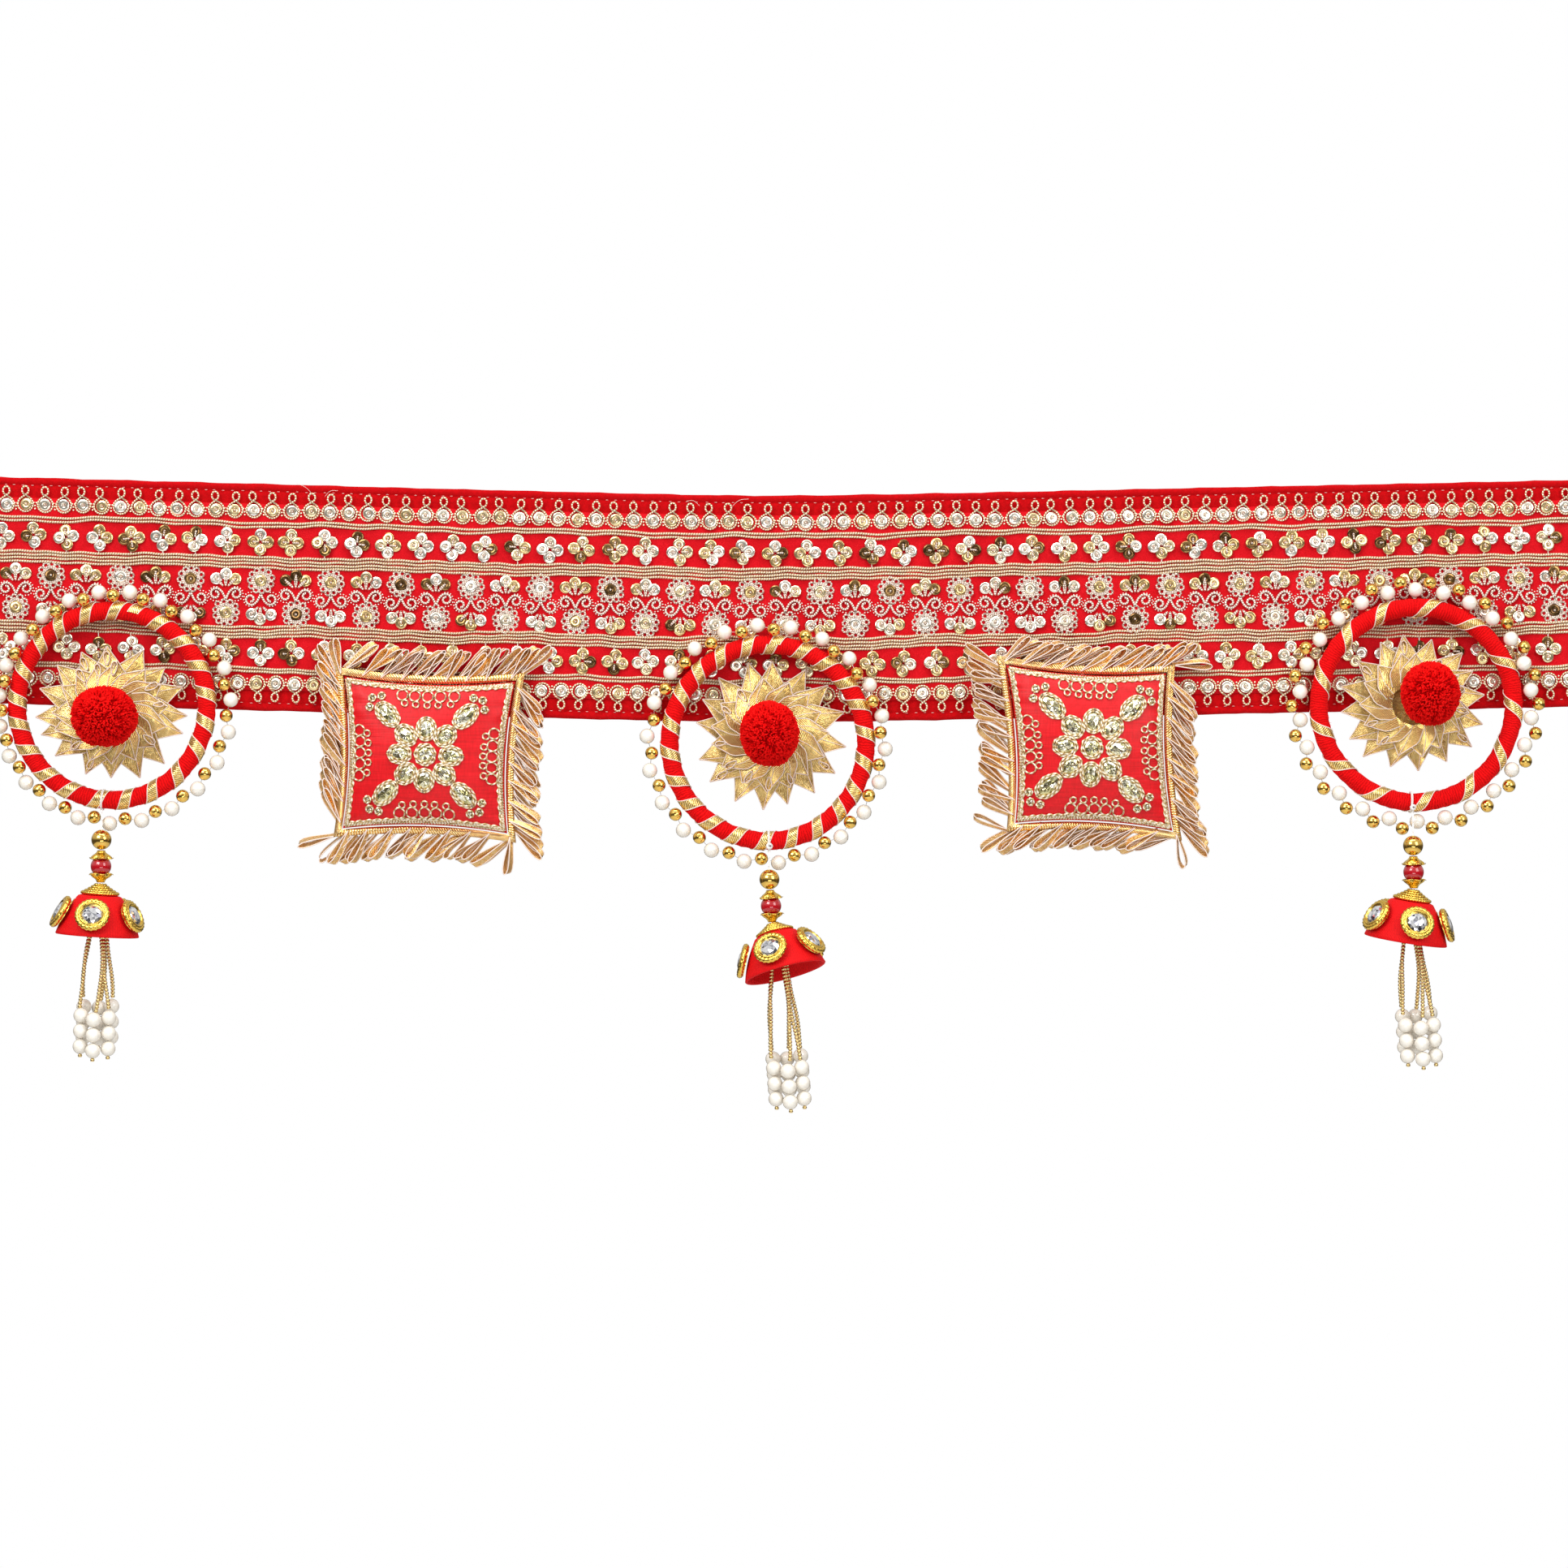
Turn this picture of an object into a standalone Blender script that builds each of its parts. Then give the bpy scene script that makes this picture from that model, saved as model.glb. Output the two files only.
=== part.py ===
"""Toran door hanging, in metres, +Z up, seen from -Y.

An embroidered cloth band hangs from its top edge, whose middle is the origin. Along its lower edge
hang three wrapped rings, each with a bead edging, a gold ribbon flower with a pompom, and a bead
drop, and between the rings two small cushions with a fringe of gold ribbon loops.
"""

import math
import random

import bmesh
import bpy
from mathutils import Matrix, Vector

GAP = 0.0003  # clearance between pieces that touch

# The band: a red backing with a lace panel sewn over its face.
BAND_HALF_LENGTH = 0.3216
BAND_HEIGHT = 0.0898
BACKING_THICK = 0.0016
HEM_DEPTH = 0.0030
HEM_STEP = 0.0006
HEM_EXTRA = 0.0005
END_HEM_LENGTH = 0.008
END_HEM_EXTRA = 0.0008
SAG_ROUND = 0.030
RISE_LEFT = 0.0269
RISE_RIGHT = 0.0213
BAND_STATIONS = 24
# Shallow folds along the band: depth, length from crest to crest, and where the fold starts.
FOLDS = (
    {"depth": 0.0011, "length": 0.231, "start": 0.031},
    {"depth": 0.0006, "length": 0.127, "start": -0.042},
)
FOLD_SHARE_AT_TOP = 0.35
SEAT_STEPS = 24
SEAT_LEVELS = (0.4, 1.0)

LACE_THICK = 0.0010
LACE_MARGIN = 0.0090
LACE_END_MARGIN = 0.0010
CORD_RELIEF = 0.0005
# Raised rows of gold cord on the lace: distance of a row's middle from the band's nearer long edge, and its width.
CORD_ROWS = (
    {"from_edge": 0.0161, "width": 0.0022},
    {"from_edge": 0.0312, "width": 0.0054},
)
CORD_SLOPE = 0.0004

# The rings: bangles wrapped with yarn and ribbon, each with a bead edging on a nylon thread.
RING_TUBE = 0.00375
RING_STEPS = 40
RING_SIDES = 6
RING_FLAT = math.sin(math.radians(60.0))
PEARL_RADIUS = 0.0030
GOLD_RADIUS = 0.0026
STRING_THREAD = 0.00035
STRING_SIDES = 4
# A bead on a string or strand is a barrel, whose flats run this share of its radius each way.
BEAD_WAIST = 0.5
BEAD_GIRTH = 0.97
# For each motif: the ring's middle and radius, bead pairs, how far the pearls and gold beads stand out from
# the ring's centreline, how far the string sags and in which direction, and where the drop is tied.
RINGS = {
    "left": {
        "middle": (-0.2586, -0.0832), "radius": 0.0374, "pairs": 23,
        "pearl_out": 0.0070, "gold_out": 0.0052, "slack": 0.0028, "slack_angle": -35.0, "tie_angle": -95.1,
    },
    "centre": {
        "middle": (0.0, -0.0979), "radius": 0.0387, "pairs": 22,
        "pearl_out": 0.0074, "gold_out": 0.0056, "slack": 0.0018, "slack_angle": -140.0, "tie_angle": -89.0,
    },
    "right": {
        "middle": (0.2557, -0.0830), "radius": 0.0384, "pairs": 26,
        "pearl_out": 0.0068, "gold_out": 0.0098, "slack": 0.0010, "slack_angle": -150.0, "tie_angle": -93.0,
    },
}

# The ribbon flowers and pompoms inside the rings.
FLOWER_TIPS = 16
FLOWER_HUB = 0.29
OUTER_VALLEY = 0.80
INNER_TIER = 0.74
INNER_VALLEY = 0.80
FLOWER_BACK_LIFT = 0.0003
PETAL_THICK = 0.0012
PLEAT = 0.0012
OUTER_FRONT = 0.0032
INNER_FRONT = 0.0066
HUB_FRONT = 0.0042
POMPOM_RADIUS = 0.0123
POMPOM_LUMP = 0.035
POMPOM_LUMP_SEED = 11
POMPOM_FLAT = 0.90
POMPOM_SEAT = 0.0068
# For each motif: the flower's middle, its reach to the sides and up, the angle of its first tip, the pompom's
# middle and how far it stands off the flower's hub.
FLOWERS = {
    "left": {
        "middle": (-0.2589, -0.0861), "wide": 0.0305, "tall": 0.0268, "turn": 2.0, "pompom": (-0.2596, -0.0878),
        "pompom_lift": 0.0003,
    },
    "centre": {
        "middle": (0.0007, -0.0947), "wide": 0.0304, "tall": 0.0298, "turn": -4.0, "pompom": (0.0006, -0.0945),
        "pompom_lift": 0.0001,
    },
    "right": {
        "middle": (0.2547, -0.0827), "wide": 0.0288, "tall": 0.0274, "turn": 7.0, "pompom": (0.2590, -0.0789),
        "pompom_lift": 0.0013,
    },
}

# The cushions and their fringe of ribbon loops.
CUSHION_FRONT = 0.0110
CUSHION_BACK = 0.0060
CUSHION_SEAM_OFF = 0.0042
CUSHION_DRAWN_IN = 0.0024
CUSHION_ROUNDNESS = 0.42
CUSHION_CELLS = 8
STRIP_STEPS = 6
FRINGE_STRIP_WIDTH = 0.0042
FRINGE_STRIP_THICK = 0.0024
FRINGE_SLANT_WAVE = 4.0
FRINGE_LOOPS = 34
# The two rows of loops: -1 is the front one, rooted nearer the cushion. Each starts part of a pitch on.
FRINGE_ROWS = (
    {"layer": -1.0, "root": 0.0014, "shift": 0.0},
    {"layer": 1.0, "root": 0.0036, "shift": 0.5},
)
LOOP_LENGTH = 0.0185
LOOP_LENGTH_SPREAD = 0.0018
LOOP_HALF_WIDTH = 0.0021
LOOP_HALF_THICK = 0.0008
LOOP_SIDES = 3
LOOP_LIFT = 0.0030
# For each cushion: its middle and size, the angle it is turned clockwise, the share that its foot is narrower,
# how far its foot leans to the right for each metre down, and how far its fringe reaches past its top, right,
# bottom and left.
CUSHIONS = {
    "left": {
        "middle": (-0.1342, -0.1027), "size": (0.0662, 0.0600), "turn": 1.8, "taper": 0.02, "lean": 0.0,
        "reach": (0.0162, 0.0158, 0.0158, 0.0122), "seed": 3,
    },
    "right": {
        "middle": (0.1270, -0.1000), "size": (0.0626, 0.0620), "turn": 2.9, "taper": 0.01, "lean": 0.10,
        "reach": (0.0134, 0.0146, 0.0130, 0.0172), "seed": 8,
    },
}

# The bead drops. Heights are below the middle of the gold bead, on the drop's own axis.
TIE_THREAD = 0.00035
TIE_KNOT = 0.0014
TIE_KNOT_ANGLE = -155.0
TIE_STEPS = 12
TIE_BITE = 0.0002
DROP_FORWARD = 0.0049
GOLD_BEAD = 0.0040
RED_BEAD = 0.0041
RED_BEAD_DOWN = 0.0104
BEAD_SEGMENTS = 8
BEAD_RINGS = 5
CAP_PETALS = 5
CAP_VALLEY = 0.80
CAP_VALLEY_LIFT = 0.0004
CAP_PETAL_ROW = 2
LOW_CAP_NECK_END = 0.0063
# A cap's section, as radius and distance from the red bead's middle, from below its neck out over the petal and
# back under it.
CAP_PROFILE = (
    (0.0016, 0.0050),
    (0.0049, 0.0025),
    (0.0037, 0.00245),
    (0.0022, 0.00395),
)
CAP_NECK = 0.0014
DOME_TOP_DOWN = 0.0218
DOME_PIVOT_DOWN = 0.0168
DOME_STEPS = 12
DOME_SHOULDER = (0.0089, 0.0010)
DOME_RIM = (0.0163, 0.0156)
DOME_WALL = 0.0012
DOME_BULGE = 0.0008
DOME_ROOF_INSET = 0.0013
DOME_INNER_SHOULDER = 0.0020
CONE_STEPS = 10
# The wire cone's section, as radius and height above its foot, from its top down.
CONE_PROFILE = (
    (0.0, 0.0044),
    (0.0019, 0.0044),
    (0.0030, 0.0030),
    (0.0044, 0.0026),
    (0.0054, 0.0014),
    (0.0074, 0.0009),
    (0.0075, 0.0),
    (0.0, 0.0),
)
STUD_COUNT = 5
STUD_DOWN = 0.0081
STUD_STEPS = 8
# A stud's section, as radius and height off the dome, from its top down.
STUD_PROFILE = (
    (0.0, 0.0040),
    (0.0060, 0.0031),
    (0.0068, 0.0016),
    (0.0060, 0.0),
    (0.0, 0.0),
)
STRANDS = 6
FIRST_STRAND_ANGLE = 30.0
STRAND_RADIUS = 0.0008
STRAND_ROOT_CIRCLE = 0.0018
STRAND_MOUTH_CIRCLE = 0.0028
STRAND_PEARL_CIRCLE = 0.0063
STRAND_PEARLS = 3
STRAND_HEAD_RADIUS = 0.0026
MOUTH_DOWN = 0.0115
FIRST_PEARL_DOWN = 0.0396
PEARL_PITCH = 0.00605
# How much lower each strand's pearls hang than the first strand's.
STRAND_STAGGER = (0.0000, 0.0010, 0.0004, 0.0036, 0.0050, 0.0042)
# For each drop: height of its gold bead's middle, lean of its beads, roll and pitch of its dome, lean of its
# strands, the angle of its first stud, and how much longer its strands are. Angles are clockwise as seen from the
# front.
DROPS = {
    "left": {
        "top": -0.1361, "lean": 1.0, "roll": 3.8, "pitch": 0.0, "strand_lean": 1.5, "stud_turn": 0.0, "longer": 0.0,
    },
    "centre": {
        "top": -0.1517, "lean": -3.5, "roll": -15.0, "pitch": -12.0, "strand_lean": -4.5, "stud_turn": -12.0,
        "longer": 0.0050,
    },
    "right": {
        "top": -0.1384, "lean": -1.0, "roll": 8.6, "pitch": 3.0, "strand_lean": -4.0, "stud_turn": 4.0,
        "longer": 0.0012,
    },
}

# Colour, roughness and metallic value of each material.
MATERIALS = {
    "red_velvet": ((0.55, 0.005, 0.01), 0.85, 0.0),
    "red_lace": ((0.62, 0.02, 0.02), 0.70, 0.0),
    "red_yarn": ((0.80, 0.005, 0.005), 0.80, 0.0),
    "red_silk": ((0.70, 0.005, 0.01), 0.50, 0.0),
    "gold_ribbon": ((0.78, 0.52, 0.16), 0.30, 0.9),
    "gold_plate": ((0.85, 0.55, 0.12), 0.18, 1.0),
    "pearl": ((0.90, 0.87, 0.80), 0.20, 0.0),
    "red_glass": ((0.60, 0.0, 0.02), 0.08, 0.0),
    "white_thread": ((0.90, 0.90, 0.88), 0.70, 0.0),
}


def clear_scene():
    for obj in list(bpy.data.objects):
        bpy.data.objects.remove(obj, do_unlink=True)


def make_materials():
    for name, (colour, roughness, metallic) in MATERIALS.items():
        material = bpy.data.materials.new(name)
        material.use_nodes = True
        shader = material.node_tree.nodes["Principled BSDF"]
        shader.inputs["Base Color"].default_value = (*colour, 1.0)
        shader.inputs["Roughness"].default_value = roughness
        shader.inputs["Metallic"].default_value = metallic


def add_object(name, mesh, material, collection="toran"):
    mesh.materials.append(bpy.data.materials[material])
    obj = bpy.data.objects.new(name, mesh)
    bpy.data.collections[collection].objects.link(obj)
    return obj


def mesh_from(name, bm, faces_set=False):
    """Makes a mesh. faces_set says that its faces already point outwards."""
    if not faces_set:
        bmesh.ops.recalc_face_normals(bm, faces=bm.faces)
    mesh = bpy.data.meshes.new(name)
    bm.to_mesh(mesh)
    bm.free()
    return mesh


def smooth(obj, angle=35.0):
    obj.data.shade_smooth()
    obj.data.set_sharp_from_angle(angle=math.radians(angle))


def loft_into(bm, sections, closed=False, split=False):
    """Joins sections of equal point counts by faces: a closed loop of them, or an open run with its ends capped.

    split cuts each face in two from its low corner on the nearer section, so that layered cloths bend alike.
    """
    rows = [[bm.verts.new(point) for point in section] for section in sections]
    pairs = list(zip(rows, rows[1:]))
    if closed:
        pairs.append((rows[-1], rows[0]))
    for near, far in pairs:
        for i in range(len(near)):
            j = (i + 1) % len(near)
            if not split:
                bm.faces.new((near[i], near[j], far[j], far[i]))
            elif near[i].co.z < near[j].co.z:
                bm.faces.new((near[i], near[j], far[j]))
                bm.faces.new((near[i], far[j], far[i]))
            else:
                bm.faces.new((near[i], near[j], far[i]))
                bm.faces.new((near[j], far[j], far[i]))
    if not closed:
        bm.faces.new(list(reversed(rows[0])))
        bm.faces.new(rows[-1])
    return rows


def ring_section(centre, across, side, half_across, half_side, sides):
    """A polygon of that many sides round centre, with a corner on the across axis."""
    points = []
    for k in range(sides):
        angle = 2 * math.pi * k / sides
        points.append(centre + across * (half_across * math.cos(angle)) + side * (half_side * math.sin(angle)))
    return points


def turned(name, profile, steps, material):
    """A solid turned about Z from (radius, height) points, which run from the top of the axis round to its foot."""
    mesh = bpy.data.meshes.new(name)
    points = [(radius, 0.0, height) for radius, height in profile]
    mesh.from_pydata(points, [(i, i + 1) for i in range(len(points) - 1)], [])
    obj = add_object(name, mesh, material)
    screw = obj.modifiers.new("turn", "SCREW")
    screw.axis = "Z"
    screw.angle = 2 * math.pi
    screw.steps = steps
    screw.render_steps = steps
    screw.use_merge_vertices = True
    screw.merge_threshold = 0.00001
    screw.use_smooth_shade = True
    return obj


def union(base, others):
    """Joins other objects to base as one body and removes them."""
    for other in others:
        boolean = base.modifiers.new("join", "BOOLEAN")
        boolean.operation = "UNION"
        boolean.solver = "EXACT"
        boolean.use_self = True
        boolean.object = other
    graph = bpy.context.evaluated_depsgraph_get()
    mesh = bpy.data.meshes.new_from_object(base.evaluated_get(graph))
    base.modifiers.clear()
    base.data = mesh
    for other in others:
        bpy.data.objects.remove(other, do_unlink=True)
    return base


def top_edge(x):
    """Height of the band's top edge, which hangs lowest in its middle."""
    rise = RISE_LEFT if x < 0 else RISE_RIGHT
    return rise * (math.hypot(x, SAG_ROUND) - SAG_ROUND)


def band_y(x, down):
    """Depth of the backing's middle layer. down runs from 0 at the top edge to 1 at the bottom one."""
    fold = 0.0
    for wave in FOLDS:
        turn = 2 * math.pi / wave["length"]
        fold += wave["depth"] * (math.sin(turn * (x - wave["start"])) + math.sin(turn * wave["start"]))
    return fold * (FOLD_SHARE_AT_TOP + (1 - FOLD_SHARE_AT_TOP) * down)


def band_point(x, from_top, y_offset):
    """A point of the band's cross-section at x, that far below the top edge."""
    down = from_top / BAND_HEIGHT
    return Vector((x, band_y(x, down) + y_offset, top_edge(x) - from_top))


def lace_front(x, down):
    return band_y(x, down) - BACKING_THICK / 2 - GAP - LACE_THICK - CORD_RELIEF


def seat_y(x_low, x_high):
    """The foremost depth of the lace's lower part between two x, less the clearance."""
    found = []
    for i in range(SEAT_STEPS + 1):
        x = x_low + (x_high - x_low) * i / SEAT_STEPS
        found.extend(lace_front(x, down) for down in SEAT_LEVELS)
    return min(found) - GAP


def band_stations(half_length):
    """The x of the band's cross-sections, with its end hems marked off."""
    inner = BAND_HALF_LENGTH - END_HEM_LENGTH - HEM_STEP
    middle = [-inner + 2 * inner * i / BAND_STATIONS for i in range(BAND_STATIONS + 1)]
    ends = [BAND_HALF_LENGTH - END_HEM_LENGTH, half_length]
    return [-x for x in reversed(ends)] + middle + ends


def build_backing():
    half = BACKING_THICK / 2
    sections = []
    for x in band_stations(BAND_HALF_LENGTH):
        back = half
        if abs(x) >= BAND_HALF_LENGTH - END_HEM_LENGTH - GAP:
            back += END_HEM_EXTRA
        front = (
            (0.0, -half - HEM_EXTRA),
            (HEM_DEPTH, -half - HEM_EXTRA),
            (HEM_DEPTH + HEM_STEP, -half),
            (BAND_HEIGHT - HEM_DEPTH - HEM_STEP, -half),
            (BAND_HEIGHT - HEM_DEPTH, -half - HEM_EXTRA),
            (BAND_HEIGHT, -half - HEM_EXTRA),
        )
        section = [band_point(x, from_top, y) for from_top, y in front]
        section.append(band_point(x, BAND_HEIGHT, back))
        section.append(band_point(x, 0.0, back))
        sections.append(section)
    bm = bmesh.new()
    loft_into(bm, sections, split=True)
    smooth(add_object("band_backing", mesh_from("band_backing", bm), "red_velvet"))


def lace_outline():
    """The lace's front outline as (distance from the top edge, relief), from its top to its foot."""
    rows = [(row["from_edge"], row["width"] / 2) for row in CORD_ROWS]
    rows += [(BAND_HEIGHT - middle, half) for middle, half in reversed(rows)]
    outline = [(LACE_MARGIN, 0.0)]
    for middle, half in rows:
        outline.append((middle - half - CORD_SLOPE, 0.0))
        outline.append((middle - half, CORD_RELIEF))
        outline.append((middle + half, CORD_RELIEF))
        outline.append((middle + half + CORD_SLOPE, 0.0))
    outline.append((BAND_HEIGHT - LACE_MARGIN, 0.0))
    return outline


def build_lace():
    back = -BACKING_THICK / 2 - GAP
    sections = []
    for x in band_stations(BAND_HALF_LENGTH - LACE_END_MARGIN):
        section = [band_point(x, from_top, back - LACE_THICK - relief) for from_top, relief in lace_outline()]
        section.append(band_point(x, BAND_HEIGHT - LACE_MARGIN, back))
        section.append(band_point(x, LACE_MARGIN, back))
        sections.append(section)
    bm = bmesh.new()
    loft_into(bm, sections, split=True)
    smooth(add_object("lace_panel", mesh_from("lace_panel", bm), "red_lace"))


def ring_middle(side):
    """Middle of a ring, seated against the lace."""
    ring = RINGS[side]
    x, z = ring["middle"]
    reach = ring["radius"] + RING_TUBE
    return Vector((x, seat_y(x - reach, x + reach) - RING_TUBE * RING_FLAT, z))


def build_ring(side):
    bpy.ops.mesh.primitive_torus_add(
        major_segments=RING_STEPS,
        minor_segments=RING_SIDES,
        major_radius=RINGS[side]["radius"],
        minor_radius=RING_TUBE,
        location=ring_middle(side),
        rotation=(math.pi / 2, 0.0, 0.0),
    )
    made = bpy.context.object
    made.name = "ring_" + side
    made.data.materials.append(bpy.data.materials["red_yarn"])
    for holder in list(made.users_collection):
        holder.objects.unlink(made)
    bpy.data.collections["toran"].objects.link(made)
    smooth(made)


def bead_places(side):
    """(middle, radius) of each bead on a ring's edging, pearls and gold beads in turn.

    The thread's gap between the first pearl and the last gold bead is where the drop is tied.
    """
    ring = RINGS[side]
    middle = ring_middle(side)
    count = 2 * ring["pairs"]
    places = []
    for k in range(count):
        pearl = k % 2 == 0
        angle = math.radians(ring["tie_angle"]) + 2 * math.pi * (k + 0.5) / count
        size = PEARL_RADIUS if pearl else GOLD_RADIUS
        sag = ring["slack"] * (1 + math.cos(angle - math.radians(ring["slack_angle"]))) / 2
        out = ring["pearl_out"] if pearl else ring["gold_out"]
        out += sag
        clear = RING_TUBE + size + GAP
        forward = math.sqrt(max(0.0, clear * clear - out * out))
        reach = ring["radius"] + out
        place = middle + Vector((reach * math.cos(angle), -forward, reach * math.sin(angle)))
        places.append((place, size))
    return places


def across_axes(direction):
    """Two axes square to direction, the first as near to the front as it can be."""
    front = Vector((0.0, -1.0, 0.0))
    across = (front - direction * direction.dot(front)).normalized()
    return across, direction.cross(across)


def bead_sections(centre, direction, size, sides):
    """Two sections that give a bead its barrel form on a thread."""
    across, side = across_axes(direction)
    waist = size * BEAD_WAIST
    girth = size * BEAD_GIRTH
    return [ring_section(centre + direction * shift, across, side, girth, girth, sides) for shift in (-waist, waist)]


def build_bead_string(side):
    places = bead_places(side)
    sections = []
    for k, (centre, size) in enumerate(places):
        before = places[k - 1][0]
        after, after_size = places[(k + 1) % len(places)]
        sections += bead_sections(centre, (after - before).normalized(), size, STRING_SIDES)
        step = after - centre
        neck = centre + step * (size / (size + after_size))
        across, aside = across_axes(step.normalized())
        sections.append(ring_section(neck, across, aside, STRING_THREAD, STRING_THREAD, STRING_SIDES))
    bm = bmesh.new()
    loft_into(bm, sections, closed=True)
    name = "bead_string_" + side
    add_object(name, mesh_from(name, bm), "pearl")


def build_flower(side):
    """A rosette of folded ribbon in two tiers: each tier is a star whose tips stand forward of its valleys."""
    flower = FLOWERS[side]
    x, z = flower["middle"]
    wide, tall = flower["wide"], flower["tall"]
    back = seat_y(x - wide, x + wide)
    rows = []
    for k in range(2 * FLOWER_TIPS):
        angle = math.radians(90.0 + flower["turn"]) + math.pi * k / FLOWER_TIPS
        tip = k % 2 == 0
        outer = 1.0 if tip else OUTER_VALLEY
        inner = INNER_TIER * (INNER_VALLEY if tip else 1.0)
        outer_pleat = 0.0 if tip else PLEAT
        inner_pleat = PLEAT if tip else 0.0
        profile = (
            (FLOWER_HUB, 0.0),
            (outer, FLOWER_BACK_LIFT),
            (outer, FLOWER_BACK_LIFT + PETAL_THICK),
            (inner, OUTER_FRONT + PLEAT - outer_pleat),
            (inner, INNER_FRONT + PLEAT - inner_pleat),
            (FLOWER_HUB, HUB_FRONT),
        )
        rows.append([
            Vector((x + reach * wide * math.cos(angle), back - front, z + reach * tall * math.sin(angle)))
            for reach, front in profile
        ])
    bm = bmesh.new()
    made = [[bm.verts.new(point) for point in row] for row in rows]
    for near, far in zip(made, made[1:] + made[:1]):
        for i in range(len(near) - 1):
            bm.faces.new((near[i], near[i + 1], far[i + 1], far[i]))
    bm.faces.new([row[0] for row in made])
    bm.faces.new([row[-1] for row in made])
    name = "flower_" + side
    smooth(add_object(name, mesh_from(name, bm), "gold_ribbon"), 20.0)
    return back


def build_pompom(side, flower_back):
    """A trimmed yarn ball: a lumpy sphere, flat where it is glued to the flower."""
    x, z = FLOWERS[side]["pompom"]
    back = flower_back - HUB_FRONT - FLOWERS[side]["pompom_lift"] - GAP
    tier_front = flower_back - INNER_FRONT - PLEAT - GAP
    bm = bmesh.new()
    bmesh.ops.create_icosphere(bm, subdivisions=3, radius=POMPOM_RADIUS)
    lumps = random.Random(POMPOM_LUMP_SEED)
    flat = POMPOM_RADIUS * POMPOM_FLAT
    for vert in bm.verts:
        vert.co *= 1.0 + POMPOM_LUMP * lumps.uniform(-1.0, 0.6)
        vert.co.y = min(vert.co.y, flat)
    for vert in bm.verts:
        if math.hypot(vert.co.x, vert.co.z) > POMPOM_SEAT:
            vert.co.y = min(vert.co.y, flat - (back - tier_front))
    bmesh.ops.translate(bm, verts=bm.verts, vec=(x, back - flat, z))
    name = "pompom_" + side
    smooth(add_object(name, mesh_from(name, bm), "red_yarn"))


def cushion_outline(side, u, v, spread=0.0):
    """(x, z) of a cushion's flat outline; u and v run from -1 to 1, and spread widens it on each side."""
    cushion = CUSHIONS[side]
    half_width = cushion["size"][0] / 2 + spread
    half_height = cushion["size"][1] / 2 + spread
    x = u * (half_width - CUSHION_DRAWN_IN * (1 - v * v)) * (1 + cushion["taper"] * v)
    z = v * (half_height - CUSHION_DRAWN_IN * (1 - u * u))
    return x - cushion["lean"] * z, z


def cushion_frame(side):
    """Matrix of a cushion: its origin is on the seam plane, its back clear of the lace."""
    cushion = CUSHIONS[side]
    x, z = cushion["middle"]
    reach = cushion["size"][0] / 2
    seam_y = seat_y(x - reach, x + reach) - CUSHION_SEAM_OFF
    return Matrix.Translation((x, seam_y, z)) @ Matrix.Rotation(math.radians(cushion["turn"]), 4, "Y")


def build_cushion(side):
    spread = [math.sin(math.pi / 2 * (2 * i / CUSHION_CELLS - 1)) for i in range(CUSHION_CELLS + 1)]
    bm = bmesh.new()
    for depth in (-CUSHION_FRONT, CUSHION_BACK):
        grid = []
        for v in spread:
            row = []
            for u in spread:
                x, z = cushion_outline(side, u, v)
                crown = max(0.0, (1 - u * u) * (1 - v * v)) ** CUSHION_ROUNDNESS
                row.append(bm.verts.new((x, depth * crown, z)))
            grid.append(row)
        for low, high in zip(grid, grid[1:]):
            for i in range(CUSHION_CELLS):
                corners = (low[i], low[i + 1], high[i + 1], high[i])
                bm.faces.new(corners if depth < 0 else reversed(corners))
    bmesh.ops.remove_doubles(bm, verts=bm.verts, dist=0.00001)
    name = "cushion_" + side
    obj = add_object(name, mesh_from(name, bm, faces_set=True), "red_silk")
    obj.matrix_world = cushion_frame(side)
    smooth(obj, 60.0)


def edge_point(side, travel, spread):
    """A point on the cushion's edge, where travel runs clockwise from 0 to 4, one for each side from the top left."""
    edge, along = int(travel % 4.0), 2 * (travel % 1.0) - 1
    u, v = ((along, 1.0), (1.0, -along), (-along, -1.0), (-1.0, along))[edge]
    x, z = cushion_outline(side, u, v, spread)
    return Vector((x, 0.0, z))


def fringe_strip(side):
    """Sections of the narrow strip that carries the loops, round the cushion's seam."""
    lift = Vector((0.0, FRINGE_STRIP_THICK / 2, 0.0))
    sections = []
    for k in range(4 * STRIP_STEPS):
        travel = k / STRIP_STEPS
        near = edge_point(side, travel, GAP)
        far = edge_point(side, travel, GAP + FRINGE_STRIP_WIDTH)
        sections.append([near - lift, far - lift, far + lift, near + lift])
    return sections


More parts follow.
